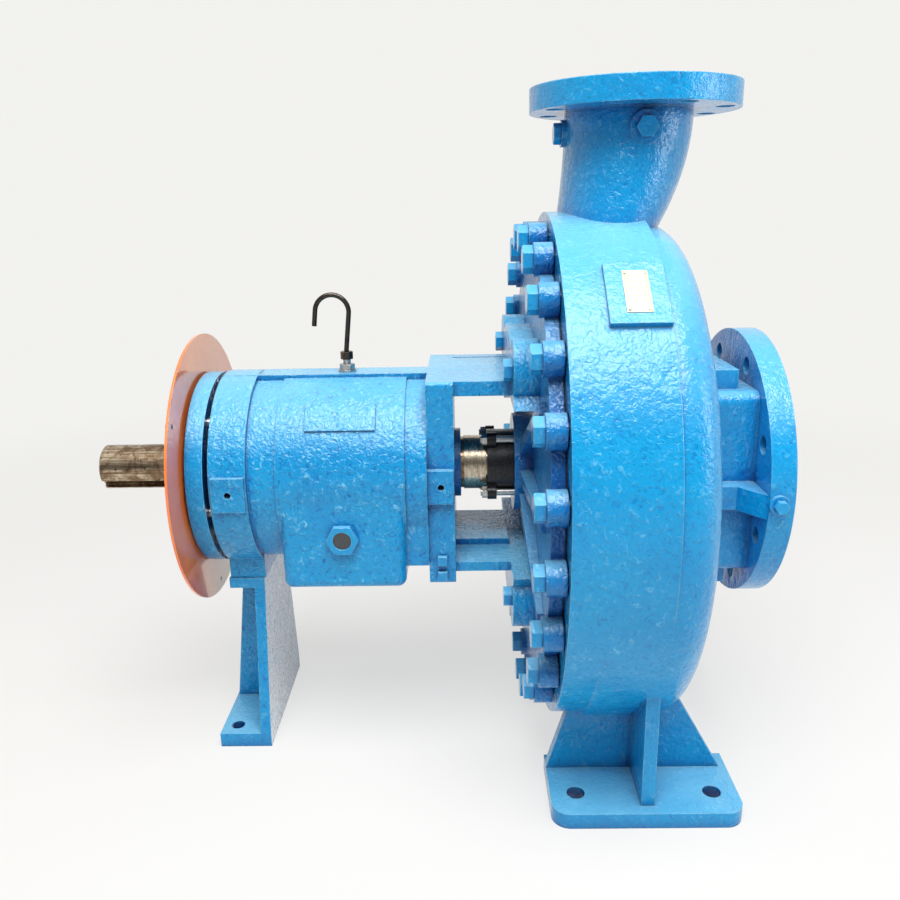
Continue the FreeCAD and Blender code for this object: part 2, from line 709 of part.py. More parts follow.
def bearing_frame():
    ring = rod(ring_left_x, ring_right_x, ring_radius)
    collar = rod(ring_right_x, sump_left_x, collar_radius)
    barrel = rod(sump_left_x, sump_right_x, barrel_radius)
    sump = sump_box(sump_left_x + 2.0, sump_right_x - 2.0, sump_half_width, sump_depth, sump_round)
    neck = rod(sump_right_x, end_block_left_x, neck_radius)
    neck_box = block(sump_right_x - 5, end_block_left_x, -frame_neck_half_width, frame_neck_half_width,
                     -frame_neck_depth, 0)
    end_block = block(end_block_left_x, end_block_right_x, -end_block_half_width, end_block_half_width,
                      -end_block_bottom, end_block_top)
    upright = [e for e in end_block.Edges if abs(abs(e.tangentAt(e.FirstParameter).x) - 1) < 1e-6]
    end_block = end_block.makeFillet(end_block_round, upright)
    top_arm = block(end_block_right_x - 1, adapter_left_x + 1, -arm_half_width, arm_half_width,
                    end_block_top - top_arm_thick, end_block_top)
    bottom_arm = block(end_block_right_x - 1, adapter_left_x + 1, -arm_half_width, arm_half_width,
                       -bottom_arm_top - bottom_arm_thick, -bottom_arm_top)
    bottom_rib = block(end_block_right_x - 1, adapter_left_x + 1, -bottom_rib_half_width, bottom_rib_half_width,
                       -bottom_arm_top - 1, -bottom_arm_top + bottom_rib_rise)
    top_rib = block(ring_left_x, end_block_left_x, -top_rib_half_width, top_rib_half_width, barrel_radius - 25.0,
                    top_rib_height)
    mount = block(ring_left_x, ring_right_x + 1.0, -mount_block_half_width, mount_block_half_width,
                  -mount_block_bottom, -ring_radius + 40.0)
    parts = [ring, collar, barrel, sump, neck, neck_box, end_block, top_arm, bottom_arm, bottom_rib, top_rib, mount,
             adapter_flange()]
    half = frame_pad_height / 2.0
    for side in (-1, 1):
        for left, right, outer in ((ring_left_x + 3.0, ring_right_x - 2.0, ring_radius + 2.0),
                                   (end_block_left_x - end_pad_overhang, end_block_right_x - 1.0,
                                    end_block_half_width + frame_pad_rise)):
            low = min(side * outer, side * (outer - frame_pad_depth))
            parts.append(block(left, right, low, low + frame_pad_depth, -half, half))
    panel = rod(sump_middle_x - cast_panel_length / 2.0, sump_middle_x + cast_panel_length / 2.0,
                barrel_radius + cast_panel_rise)
    wedge = wedge_sector(sump_middle_x - cast_panel_length / 2.0 - 1, cast_panel_length + 2, cast_panel_angle,
                         cast_panel_spread, barrel_radius + 20.0)
    parts.append(panel.common(wedge))
    frame = join(parts)
    return frame.cut(frame_cuts())


def wedge_sector(left_x, length, angle, spread, radius):
    """A pie slice about the X axis, used to keep one patch of a drum."""
    slice_face = plate([V(left_x, 0, 0), V(left_x, *on_circle(radius, angle - spread / 2.0)),
                        V(left_x, *on_circle(radius, angle + spread / 2.0))], length, X_AXIS)
    return slice_face


def frame_cuts():
    """Bores of the frame, from the housing bore at the drive end to the seal ring at the pump end."""
    bore_end_x = ring_left_x + housing_sleeve_length + 2.0
    pocket_left_x = inboard_bearing_x - inboard_bearing_width
    relief_radius = shaft_inboard_radius + inboard_ring_section + bearing_relief
    tools = [rod(ring_left_x - 3, bore_end_x, housing_sleeve_radius + slide_clearance),
             rod(bore_end_x - 1, pocket_left_x, oil_space_radius),
             block(bore_end_x + 3, sump_right_x - 14.0, -oil_space_radius, oil_space_radius, -sump_depth + 14.0, 0),
             rod(pocket_left_x - 1, inboard_bearing_x, inboard_bearing_radius + fit_clearance),
             rod(inboard_bearing_x - 1, end_block_right_x - labyrinth_seat, shaft_clear_radius),
             rod(inboard_bearing_x - 1, inboard_bearing_x + bearing_relief, relief_radius),
             rod(end_block_right_x - labyrinth_seat, end_block_right_x + 1, labyrinth_radius + fit_clearance)]
    tools.append(Part.makeCylinder(glass_thread_radius + fit_clearance, 60, V(sump_middle_x, -oil_space_radius + 2, glass_z),
                                   V(0, -1, 0)))
    tools.append(Part.makeCylinder(breather_thread_radius + fit_clearance, 60,
                                   V(sump_middle_x, 0, oil_space_radius - 8)))
    tools.append(block(end_block_right_x - 2.0, adapter_left_x, arm_slot_y - arm_slot_width / 2.0,
                       arm_slot_y + arm_slot_width / 2.0, end_block_top - arm_slot_depth, end_block_top + 1))
    tap = clamp_bolt_radius + fit_clearance
    for angle in clamp_angles:
        tools.append(rod(ring_left_x - 1, ring_left_x + clamp_reach + 1, tap, *on_circle(adjust_circle_radius, angle)))
    for side in (-1, 1):
        for x, outer in ((ring_left_x + ring_width / 2.0, ring_radius + 2.0),
                         (end_block_left_x + end_block_width / 2.0, end_block_half_width + frame_pad_rise)):
            tools.append(Part.makeCylinder(pad_hole_radius, pad_hole_depth, V(x, side * outer, 0), V(0, -side, 0)))
    for x, y in foot_bolt_places():
        tools.append(Part.makeCylinder(foot_bolt_radius + fit_clearance, foot_bolt_reach + 1,
                                       V(x, y, -mount_block_bottom - 1)))
    for angle in ear_angles:
        tools.append(rod(adapter_left_x - 1, adapter_face_x + 1, frame_bolt_radius + hole_play,
                         *on_circle(ear_circle_radius, angle)))
    x = end_block_left_x + end_block_width / 2.0
    for z in frame_plug_heights:
        tools.append(Part.makeCylinder(frame_plug_thread_radius + fit_clearance, frame_plug_thread_length + 2,
                                       V(x, -end_block_half_width - 1, z), V(0, 1, 0)))
    return tools


def foot_bolt_places():
    x = frame_foot_top_left_x + foot_bolt_inset
    return [(x, -foot_bolt_y), (x, foot_bolt_y)]


def frame_foot():
    """The foot under the drive end: base, leaning-edged web, centre rib and top plate."""
    floor = -axis_height
    right_x = frame_foot_left_x + frame_foot_length
    base_top = floor + frame_foot_base_thick
    plate_top = -mount_block_bottom
    plate_low = plate_top - frame_foot_top_thick
    base = block(frame_foot_left_x, right_x, -frame_foot_half_width, frame_foot_half_width, floor, base_top)
    top = block(frame_foot_top_left_x, right_x, -frame_foot_top_half_width, frame_foot_top_half_width, plate_low,
                plate_top)
    web_x = right_x - frame_foot_web_thick
    web = plate([V(web_x, -frame_foot_half_width, base_top), V(web_x, frame_foot_half_width, base_top),
                 V(web_x, frame_foot_top_half_width, plate_low), V(web_x, -frame_foot_top_half_width, plate_low)],
                frame_foot_web_thick, X_AXIS)
    half = frame_foot_rib_thick / 2.0
    rib = plate([V(frame_foot_left_x + 2, -half, base_top), V(web_x + 1, -half, base_top), V(web_x + 1, -half, plate_low),
                 V(frame_foot_top_left_x + 2, -half, plate_low)], frame_foot_rib_thick, V(0, 1, 0))
    foot = join([base, top, web, rib])
    tools = [Part.makeCylinder(frame_foot_hole_radius, frame_foot_base_thick + 2, V(frame_foot_hole_x, y, floor - 1))
             for y in (-frame_foot_hole_y, frame_foot_hole_y)]
    for x, y in foot_bolt_places():
        tools.append(Part.makeCylinder(foot_bolt_radius + hole_play, frame_foot_top_thick + 2, V(x, y, plate_low - 1)))
    return foot.cut(tools)


def foot_bolts():
    low = -mount_block_bottom - frame_foot_top_thick
    bolts = []
    for x, y in foot_bolt_places():
        head = hexagon(foot_bolt_flats, foot_bolt_head, V(x, y, low), V(0, 0, -1))
        shank = Part.makeCylinder(foot_bolt_radius, frame_foot_top_thick + foot_bolt_reach, V(x, y, low))
        bolts.append(join([head, shank]))
    return bolts


# ---------------------------------------------------------------- frame fittings
def sight_glass_body():
    face_y = -sump_half_width
    rim = hexagon(glass_flats, glass_rim, V(sump_middle_x, face_y, glass_z), V(0, -1, 0))
    thread = Part.makeCylinder(glass_thread_radius, glass_thread_length, V(sump_middle_x, face_y, glass_z), V(0, 1, 0))
    body = join([rim, thread])
    view = Part.makeCylinder(glass_radius - 1.5, 60, V(sump_middle_x, face_y + 30, glass_z), V(0, -1, 0))
    seat = Part.makeCylinder(glass_radius + fit_clearance, glass_rim, V(sump_middle_x, face_y - 2, glass_z), V(0, -1, 0))
    return body.cut([view, seat])


def sight_glass_lens():
    return Part.makeCylinder(glass_radius, 4.0, V(sump_middle_x, -sump_half_width - 2, glass_z), V(0, -1, 0))


def breather_washer():
    washer = Part.makeCylinder(breather_washer_radius, breather_washer_thick, V(sump_middle_x, 0, top_rib_height))
    return washer.cut(Part.makeCylinder(breather_thread_radius + 0.3, 10, V(sump_middle_x, 0, top_rib_height - 1)))


def breather_fitting():
    low = top_rib_height + breather_washer_thick
    hexagon_part = hexagon(breather_hex_flats, breather_hex_height, V(sump_middle_x, 0, low), V(0, 0, 1))
    neck = Part.makeCylinder(breather_neck_radius, breather_neck_height, V(sump_middle_x, 0, low + breather_hex_height))
    thread_low = low - breather_thread_length
    thread = Part.makeCylinder(breather_thread_radius, breather_thread_length, V(sump_middle_x, 0, thread_low))
    bore = Part.makeCylinder(breather_bore_radius, 60, V(sump_middle_x, 0, thread_low - 1))
    return join([hexagon_part, neck, thread]).cut(bore)


def breather_nut():
    low = top_rib_height + breather_washer_thick + breather_hex_height + breather_neck_height
    nut = hexagon(breather_nut_flats, breather_nut_height, V(sump_middle_x, 0, low), V(0, 0, 1))
    return nut.cut(Part.makeCylinder(breather_tube_radius + fit_clearance, 30, V(sump_middle_x, 0, low - 1)))


def gooseneck(radius, start, up, side):
    """A round bar that rises, bends half a turn to one side and comes down again."""
    crown = start + up * breather_rise
    face = Part.Face(Part.Wire(Part.makeCircle(radius, start, up)))
    rise = face.extrude(up * breather_rise)
    face.translate(up * breather_rise)
    bend = face.revolve(crown + side * breather_bend_radius, up.cross(side), 180)
    fall = Part.makeCylinder(radius, breather_drop, crown + side * (2 * breather_bend_radius), -up)
    return [rise, bend, fall]


def breather_tube():
    """A gooseneck vent: up, over towards the drive end, and down again, leaning a little."""
    low = top_rib_height + breather_washer_thick + breather_hex_height + breather_neck_height
    stem_height = breather_nut_height + 2.0
    start = V(sump_middle_x, 0, low + stem_height)
    lean = math.radians(breather_lean)
    up = V(math.sin(lean), 0, math.cos(lean))
    side = V(-math.cos(lean), 0, math.sin(lean))
    outside = gooseneck(breather_tube_radius, start, up, side)
    stem = Part.makeCylinder(breather_tube_radius, stem_height, V(sump_middle_x, 0, low))
    elbow = Part.makeSphere(breather_tube_radius, start)
    mouth = Part.makeCylinder(breather_tube_radius - breather_tube_wall, breather_drop,
                              start + up * (breather_rise - breather_drop) + side * (2 * breather_bend_radius), up)
    return join([stem, elbow] + outside).cut(mouth)


def inboard_labyrinth():
    return tube(end_block_right_x - labyrinth_seat, end_block_right_x + labyrinth_reach, labyrinth_radius,
                shaft_labyrinth_radius + running_clearance)


def bearing_rings(left_x, width, outer_radius, bore_radius, section):
    """Outer and inner ring of one bearing."""
    outer = tube(left_x, left_x + width, outer_radius, outer_radius - section)
    inner = tube(left_x, left_x + width, bore_radius + section, bore_radius)
    return outer, inner


def inboard_bearing():
    left_x = inboard_bearing_x - inboard_bearing_width
    return bearing_rings(left_x, inboard_bearing_width, inboard_bearing_radius, shaft_inboard_radius + fit_clearance,
                         inboard_ring_section)


def inboard_rollers():
    inner = shaft_inboard_radius + fit_clearance + inboard_ring_section
    outer = inboard_bearing_radius - inboard_ring_section
    radius = (outer - inner) / 2.0 - running_clearance
    left_x = inboard_bearing_x - inboard_bearing_width
    roller = rod(left_x + 3, left_x + inboard_bearing_width - 3, radius, *on_circle((inner + outer) / 2.0, 0))
    return ring_of(roller, roller_count, 0.0)


# ---------------------------------------------------------------- bearing housing
def bearing_housing():
    flange = rod(housing_flange_left_x, housing_flange_right_x, housing_flange_radius)
    sleeve_end = housing_flange_right_x + housing_sleeve_length
    sleeve = rod(housing_flange_right_x, sleeve_end, housing_sleeve_radius)
    housing = join([flange, sleeve])
    tools = [rod(housing_flange_left_x - 1, outboard_bearing_x + 2 * outboard_bearing_width,
                 outboard_bearing_radius + fit_clearance),
             rod(housing_flange_left_x, sleeve_end + 1, outboard_bearing_radius - 8.0)]
    for angle in adjust_angles:
        tools.append(rod(housing_flange_left_x - 1, housing_flange_right_x + 1, clamp_bolt_radius + fit_clearance,
                         *on_circle(adjust_circle_radius, angle)))
    for angle in clamp_angles:
        place = on_circle(adjust_circle_radius, angle)
        tools.append(rod(housing_flange_left_x - 1, housing_flange_right_x + 1, clamp_bolt_radius + 1.0, *place))
        tools.append(rod(housing_flange_left_x - 1, housing_flange_left_x + clamp_pocket, clamp_head_radius + 1.5, *place))
    for angle in guard_screw_angles:
        tools.append(rod(housing_flange_left_x - 1, housing_flange_left_x + guard_screw_reach + 1,
                         guard_screw_radius + fit_clearance, *on_circle(guard_screw_circle, angle)))
    return housing.cut(tools)


def outboard_end_cover():
    """The cap over the thrust bearings; its bore runs close on the shaft as an oil seal."""
    cap = rod(housing_flange_left_x - end_cover_thick, housing_flange_left_x, end_cover_radius)
    spigot = rod(housing_flange_left_x, outboard_bearing_x, outboard_bearing_radius)
    cover = join([cap, spigot])
    nut_space = rod(outboard_bearing_x - locknut_width - 6.0, outboard_bearing_x + 1, locknut_radius + 4.0)
    tools = [nut_space, rod(housing_flange_left_x - end_cover_thick - 1, outboard_bearing_x,
                            shaft_cover_radius + running_clearance)]
    for angle in guard_screw_angles:
        tools.append(rod(housing_flange_left_x - end_cover_thick - 1, housing_flange_left_x + 1,
                         guard_screw_radius + screw_hole_play, *on_circle(guard_screw_circle, angle)))
    return cover.cut(tools)


def guard_plate():
    right_x = guard_plate_x + guard_plate_thick
    sheet = tube(guard_plate_x, right_x, guard_plate_radius, guard_plate_bore)
    holes = [rod(guard_plate_x - 1, right_x + 1, guard_screw_radius + screw_hole_play,
                 *on_circle(guard_screw_circle, angle)) for angle in guard_screw_angles]
    holes += [rod(guard_plate_x - 1, right_x + 1, guard_screw_radius + fit_clearance,
                  *on_circle(guard_rim_screw_circle, angle)) for angle in guard_rim_angles]
    return sheet.cut(holes)


def round_head_screw(tip_x, circle, angle):
    """A small round-head screw whose head bears on the outer face of the guard plate."""
    y, z = on_circle(circle, angle)
    head = Part.makeCone(guard_screw_radius * 1.3, guard_screw_radius * 2.0, guard_screw_head,
                         V(guard_plate_x - guard_screw_head, y, z), X_AXIS)
    return join([head, rod(guard_plate_x, tip_x, guard_screw_radius, y, z)])


def guard_screws():
    tip_x = housing_flange_left_x + guard_screw_reach
    return [round_head_screw(tip_x, guard_screw_circle, angle) for angle in guard_screw_angles]


def guard_rim_screws():
    tip_x = guard_plate_x + guard_plate_thick
    return [round_head_screw(tip_x, guard_rim_screw_circle, angle) for angle in guard_rim_angles]


def adjusting_screws():
    return [rod(housing_flange_left_x + 1.5, ring_left_x - adjust_tip_gap, clamp_bolt_radius,
                *on_circle(adjust_circle_radius, angle)) for angle in adjust_angles]


def clamp_screws():
    head_x = housing_flange_left_x + clamp_pocket - clamp_head_gap
    screws = []
    for angle in clamp_angles:
        place = on_circle(adjust_circle_radius, angle)
        head = rod(head_x - clamp_head_height, head_x, clamp_head_radius, *place)
        shank = rod(head_x, ring_left_x + clamp_reach, clamp_bolt_radius, *place)
        screws.append(join([head, shank]))
    return screws


def bearing_row(i):
    """Middle of one thrust bearing, and the side its rollers' large ends face: they meet between the two."""
    return outboard_bearing_x + outboard_bearing_width * (i + 0.5), 1 - 2 * i


def race_cone(middle, facing, side, reach):
    """The cone that a row of rollers runs on; side is 1 for the outer race and -1 for the inner one."""
    angle = math.radians(roller_tilt + side * roller_taper)
    offset = (thrust_roller_radius + running_clearance) * math.cos(math.radians(roller_taper)) / math.cos(angle)
    radius = thrust_pitch_radius + side * offset
    rise = reach * math.tan(angle) * facing
    return Part.makeCone(radius - rise, radius + rise, 2 * reach, V(middle - reach, 0, 0), X_AXIS)


def outboard_bearings():
    """Outer and inner rings of the two taper roller bearings that carry the thrust."""
    outers = []
    inners = []
    half = outboard_bearing_width / 2.0
    for i in range(2):
        middle, facing = bearing_row(i)
        ring = rod(middle - half, middle + half, outboard_bearing_radius)
        bore = rod(middle - half - 1, middle + half + 1, outboard_bearing_bore + fit_clearance)
        outers.append(ring.cut(race_cone(middle, facing, 1, half + 1)))
        inners.append(race_cone(middle, facing, -1, half).cut(bore))
    return join(outers), join(inners)


def outboard_rollers():
    """Two rows of taper rollers between the cone-shaped races."""
    rollers = []
    grow = thrust_roller_length / 2.0 * math.tan(math.radians(roller_taper))
    for i in range(2):
        middle, facing = bearing_row(i)
        roller = Part.makeCone(thrust_roller_radius - grow, thrust_roller_radius + grow, thrust_roller_length,
                               V(0, 0, -thrust_roller_length / 2.0))
        roller.rotate(V(0, 0, 0), V(0, 1, 0), 90 * facing)
        roller.rotate(V(0, 0, 0), V(0, 0, 1), -roller_tilt * facing)
        roller.translate(V(middle, -thrust_pitch_radius, 0))
        rollers += ring_of(roller, thrust_roller_count, 180.0 / thrust_roller_count * i)
    return rollers


# ---------------------------------------------------------------- rotor
def shaft():
    steps = [(shaft_end_x, shaft_step_x, shaft_drive_radius),
             (shaft_step_x, outboard_bearing_x - locknut_width, shaft_cover_radius),
             (outboard_bearing_x - locknut_width, outboard_bearing_x + 2 * outboard_bearing_width,
              outboard_bearing_bore),
             (outboard_bearing_x + 2 * outboard_bearing_width, inboard_bearing_x - inboard_bearing_width,
              shaft_body_radius),
             (inboard_bearing_x - inboard_bearing_width, inboard_bearing_x, shaft_inboard_radius),
             (inboard_bearing_x, shaft_seal_step_x, shaft_labyrinth_radius),
             (shaft_seal_step_x, impeller_front_x, shaft_seal_radius),
             (impeller_front_x, impeller_front_x + shaft_stud_length, shaft_stud_radius)]
    body = join([rod(x0, x1, radius) for x0, x1, radius in steps])
    rim = [e for e in body.Edges if abs(e.CenterOfMass.x - shaft_end_x) < 0.01]
    body = body.makeChamfer(2.0, rim)
    bottom = shaft_drive_radius - keyway_depth
    slot = block(shaft_end_x - 1, shaft_end_x + keyway_length, -shaft_drive_radius - 1, -bottom,
                 -keyway_width / 2.0, keyway_width / 2.0)
    round_end = Part.makeCylinder(keyway_width / 2.0, shaft_drive_radius + 1 - bottom,
                                  V(shaft_end_x + keyway_length, -bottom, 0), V(0, -1, 0))
    slot = slot.fuse(round_end)
    return body.cut(turned(slot, keyway_angle))


def bearing_locknut():
    nut = tube(outboard_bearing_x - locknut_width, outboard_bearing_x, locknut_radius,
               outboard_bearing_bore + fit_clearance)
    notch = block(outboard_bearing_x - locknut_width - 1, outboard_bearing_x + 1, -locknut_radius - 1,
                  -locknut_radius + 3.0, -3.5, 3.5)
    return nut.cut(ring_of(notch, 4, 0.0))


def seal_sleeve():
    return tube(shaft_seal_step_x, impeller_back_x, seal_sleeve_radius, shaft_seal_radius + fit_clearance)


def seal_collar():
    right_x = shaft_seal_step_x + seal_collar_length
    collar = tube(shaft_seal_step_x, right_x, seal_collar_radius, seal_sleeve_radius + fit_clearance)
    screw = Part.makeCylinder(collar_screw_radius + fit_clearance, seal_collar_radius, V(collar_screw_x, 0, 0),
                              V(0, -1, 0))
    return collar.cut(ring_of(screw, collar_screw_count, collar_screw_start))


def collar_screws():
    low = seal_sleeve_radius + fit_clearance
    screw = Part.makeCylinder(collar_screw_radius, seal_collar_radius + 1.0 - low, V(collar_screw_x, -low, 0),
                              V(0, -1, 0))
    return ring_of(screw, collar_screw_count, collar_screw_start)


def seal_gland():
    """The seal's gland: a drum against the hub, with four ears for its studs."""
    drum = rod(gland_left_x, hub_face_x, gland_flange_radius)
    parts = [drum]
    for angle in gland_angles:
        parts.append(rod(gland_left_x, gland_left_x + gland_ear_thick, gland_ear_radius,
                         *on_circle(gland_ear_circle, angle)))
    gland = join(parts)
    tools = [rod(gland_left_x - 1, hub_face_x + 1, seal_sleeve_radius + gland_sleeve_gap)]
    for angle in gland_angles:
        tools.append(rod(gland_left_x - 1, hub_face_x + 1, gland_stud_radius + fit_clearance * 4,
                         *on_circle(gland_ear_circle, angle)))
    return gland.cut(tools)


def gland_studs():
    return [rod(gland_left_x - gland_nut_height - 2.0, hub_face_x + gland_stud_reach, gland_stud_radius,
                *on_circle(gland_ear_circle, angle)) for angle in gland_angles]


def gland_nuts():
    nuts = []
    for angle in gland_angles:
        y, z = on_circle(gland_ear_circle, angle)
        nut = hexagon(gland_nut_flats, gland_nut_height, V(gland_left_x, y, z), V(-1, 0, 0))
        hole = rod(gland_left_x - gland_nut_height - 1, gland_left_x + 1, gland_stud_radius + fit_clearance, y, z)
        nuts.append(nut.cut(hole))
    return nuts


def vane(inner_radius, outer_radius):
    """One impeller vane: a crescent swept back from the eye to the rim."""
    def arc_point(radius, angle):
        return V(vane_left_x, *on_circle(radius, angle))

    middle = (inner_radius + outer_radius) / 2.0
    half_in = math.degrees(vane_thick / 2.0 / inner_radius)
    half_mid = math.degrees(vane_thick / 2.0 / middle) * 1.3
    half_out = math.degrees(vane_thick / 2.0 / outer_radius) * 0.8
    face_side = Part.Arc(arc_point(inner_radius, half_in), arc_point(middle, half_mid + vane_sweep * 0.38),
                         arc_point(outer_radius, half_out + vane_sweep)).toShape()
    back_side = Part.Arc(arc_point(outer_radius, -half_out + vane_sweep),
                         arc_point(middle, -half_mid + vane_sweep * 0.38), arc_point(inner_radius, -half_in)).toShape()
    tip = Part.makeLine(arc_point(outer_radius, half_out + vane_sweep), arc_point(outer_radius, -half_out + vane_sweep))
    root = Part.makeLine(arc_point(inner_radius, -half_in), arc_point(inner_radius, half_in))
    outline = Part.Face(Part.Wire([face_side, tip, back_side, root]))
    return outline.extrude(V(vane_right_x - vane_left_x, 0, 0))


def impeller():
    """An open impeller: back shroud, hub cone and swept vanes, bored for the shaft."""
    shroud = rod(impeller_back_x, impeller_back_x + impeller_shroud, impeller_radius)
    hub = Part.makeCone(impeller_hub_radius, impeller_hub_radius - 22.0, impeller_front_x - impeller_back_x,
                        V(impeller_back_x, 0, 0), X_AXIS)
    blades = ring_of(vane(impeller_hub_radius - 16.0, impeller_radius - 1.0), vane_count, 20.0)
    eye = Part.makeCone(impeller_hub_radius - 24.0, impeller_eye_radius + 14.0, vane_right_x - impeller_front_x + 8.0,
                        V(impeller_front_x - 8.0, 0, 0), X_AXIS)
    body = join([shroud, hub] + [blade.cut(eye) for blade in blades])
    return body.cut(rod(impeller_back_x - 1, impeller_front_x + 1, shaft_seal_radius + fit_clearance))


def impeller_nut():
    nut = hexagon(impeller_nut_flats, 26.0, V(impeller_front_x, 0, 0), X_AXIS)
    dome = Part.makeCone(impeller_nut_flats / 2.0, 14.0, 14.0, V(impeller_front_x + 26.0, 0, 0), X_AXIS)
    bore = rod(impeller_front_x - 1, impeller_front_x + shaft_stud_length + 1.0, shaft_stud_radius + fit_clearance)
    return join([nut, dome]).cut(bore)


# ---------------------------------------------------------------- build
os.makedirs("parts", exist_ok=True)
inboard_outer, inboard_inner = inboard_bearing()
outboard_outer, outboard_inner = outboard_bearings()
save("volute_casing", volute_casing())
save("suction_sideplate", suction_sideplate())
save("casing_gasket", casing_gasket())
save("seal_chamber_cover", seal_chamber_cover())
save("cover_bolts", cover_bolts())
save("adapter_bolts", adapter_bolts())
save("bearing_frame", bearing_frame())
save("frame_foot", frame_foot())
save("foot_bolts", foot_bolts())
save("frame_plugs", frame_plugs())
save("discharge_front_plug", pipe_plug(V(discharge_x, -front_boss_y, plug_height), V(0, -1, 0), plug_thread_radius,
                                       plug_flats))
save("discharge_side_plug", pipe_plug(V(discharge_x - side_boss_reach, 0, plug_height), V(-1, 0, 0),
                                      plug_thread_radius, plug_flats))
save("suction_gauge_plug", pipe_plug(V(gauge_boss_x, -gauge_boss_y, gauge_boss_z), V(0, -1, 0), gauge_plug_radius,
                                     gauge_plug_flats))
save("nameplate", nameplate())
save("sight_glass_body", sight_glass_body())
save("sight_glass_lens", sight_glass_lens())
save("breather_washer", breather_washer())
save("breather_fitting", breather_fitting())
save("breather_nut", breather_nut())
save("breather_tube", breather_tube())
save("inboard_labyrinth", inboard_labyrinth())
save("inboard_bearing_outer", inboard_outer)
save("inboard_rollers", inboard_rollers())
save("clamp_screws", clamp_screws())
save("seal_gland", seal_gland())
save("gland_studs", gland_studs())
save("gland_nuts", gland_nuts())
save("bearing_housing", bearing_housing())
save("outboard_end_cover", outboard_end_cover())
save("outboard_bearing_outer", outboard_outer)
save("outboard_rollers", outboard_rollers())
save("guard_plate", guard_plate())
save("guard_rim_screws", guard_rim_screws())
save("guard_screws", guard_screws())
save("adjusting_screws", adjusting_screws())
save("shaft", shaft())
save("inboard_bearing_inner", inboard_inner)
save("outboard_bearing_inner", outboard_inner)
save("bearing_locknut", bearing_locknut())
save("seal_sleeve", seal_sleeve())
save("seal_collar", seal_collar())
save("collar_screws", collar_screws())
save("impeller", impeller())
save("impeller_nut", impeller_nut())
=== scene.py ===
import bpy
import bmesh
import math
from mathutils import Matrix, Vector


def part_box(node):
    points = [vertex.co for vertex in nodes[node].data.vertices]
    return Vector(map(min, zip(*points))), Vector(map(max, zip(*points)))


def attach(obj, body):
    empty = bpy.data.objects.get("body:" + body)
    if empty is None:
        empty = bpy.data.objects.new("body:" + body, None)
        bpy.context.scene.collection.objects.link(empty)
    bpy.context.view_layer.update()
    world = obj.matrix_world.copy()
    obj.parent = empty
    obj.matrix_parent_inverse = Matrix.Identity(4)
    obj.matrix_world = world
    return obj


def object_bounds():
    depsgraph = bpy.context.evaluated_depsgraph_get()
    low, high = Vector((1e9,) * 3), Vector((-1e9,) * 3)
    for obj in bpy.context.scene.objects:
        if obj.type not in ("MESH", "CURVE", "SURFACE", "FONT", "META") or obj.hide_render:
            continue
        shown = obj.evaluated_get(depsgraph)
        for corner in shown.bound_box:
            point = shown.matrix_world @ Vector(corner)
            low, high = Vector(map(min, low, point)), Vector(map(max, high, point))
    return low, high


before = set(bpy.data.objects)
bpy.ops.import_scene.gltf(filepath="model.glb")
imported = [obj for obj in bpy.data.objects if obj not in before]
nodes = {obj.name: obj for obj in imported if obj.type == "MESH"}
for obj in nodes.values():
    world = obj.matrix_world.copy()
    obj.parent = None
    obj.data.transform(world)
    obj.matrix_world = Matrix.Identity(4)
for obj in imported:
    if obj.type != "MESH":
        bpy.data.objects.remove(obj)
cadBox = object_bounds()
print("frame loaded:", len(nodes), "nodes")


# node tree helpers

def newMaterial(name):
    material = bpy.data.materials.new(name)
    material.use_nodes = True
    tree = material.node_tree
    tree.nodes.clear()
    return material, tree


def addNode(tree, kind):
    return tree.nodes.new("ShaderNode" + kind)


def paintOutput(tree, roughness, metallic=0.0, coat=0.0, coatRoughness=0.1, specular=0.5):
    shader = addNode(tree, "BsdfPrincipled")
    shader.inputs["Roughness"].default_value = roughness
    shader.inputs["Metallic"].default_value = metallic
    shader.inputs["Coat Weight"].default_value = coat
    shader.inputs["Coat Roughness"].default_value = coatRoughness
    shader.inputs["Specular IOR Level"].default_value = specular
    end = addNode(tree, "OutputMaterial")
    tree.links.new(shader.outputs["BSDF"], end.inputs["Surface"])
    return shader


def objectSpace(tree, stretch=(1, 1, 1)):
    place = addNode(tree, "TexCoord")
    mapping = addNode(tree, "Mapping")
    mapping.inputs["Scale"].default_value = stretch
    tree.links.new(place.outputs["Object"], mapping.inputs["Vector"])
    return mapping.outputs["Vector"]


def noise(tree, vector, size, detail=3.0, rough=0.55, warp=0.0):
    node = addNode(tree, "TexNoise")
    node.inputs["Scale"].default_value = 1.0 / size  # size of one lump, in metres
    node.inputs["Detail"].default_value = detail
    node.inputs["Roughness"].default_value = rough
    node.inputs["Distortion"].default_value = warp
    tree.links.new(vector, node.inputs["Vector"])
    return node.outputs["Fac"]


def spread(tree, value, low, high, toLow=0.0, toHigh=1.0):
    node = addNode(tree, "MapRange")
    node.clamp = True
    node.inputs["From Min"].default_value = low
    node.inputs["From Max"].default_value = high
    node.inputs["To Min"].default_value = toLow
    node.inputs["To Max"].default_value = toHigh
    tree.links.new(value, node.inputs["Value"])
    return node.outputs["Result"]


def combine(tree, operation, a, b=0.0):
    node = addNode(tree, "Math")
    node.operation = operation
    for socket, value in zip(node.inputs, (a, b)):
        if isinstance(value, (int, float)):
            socket.default_value = value
        else:
            tree.links.new(value, socket)
    return node.outputs["Value"]


def blendColour(tree, factor, a, b):
    node = addNode(tree, "Mix")
    node.data_type = "RGBA"
    for socket, value in ((node.inputs[0], factor), (node.inputs[6], a), (node.inputs[7], b)):
        if isinstance(value, (int, float)):
            socket.default_value = value
        elif isinstance(value, tuple):
            socket.default_value = (*value, 1)
        else:
            tree.links.new(value, socket)
    return node.outputs[2]


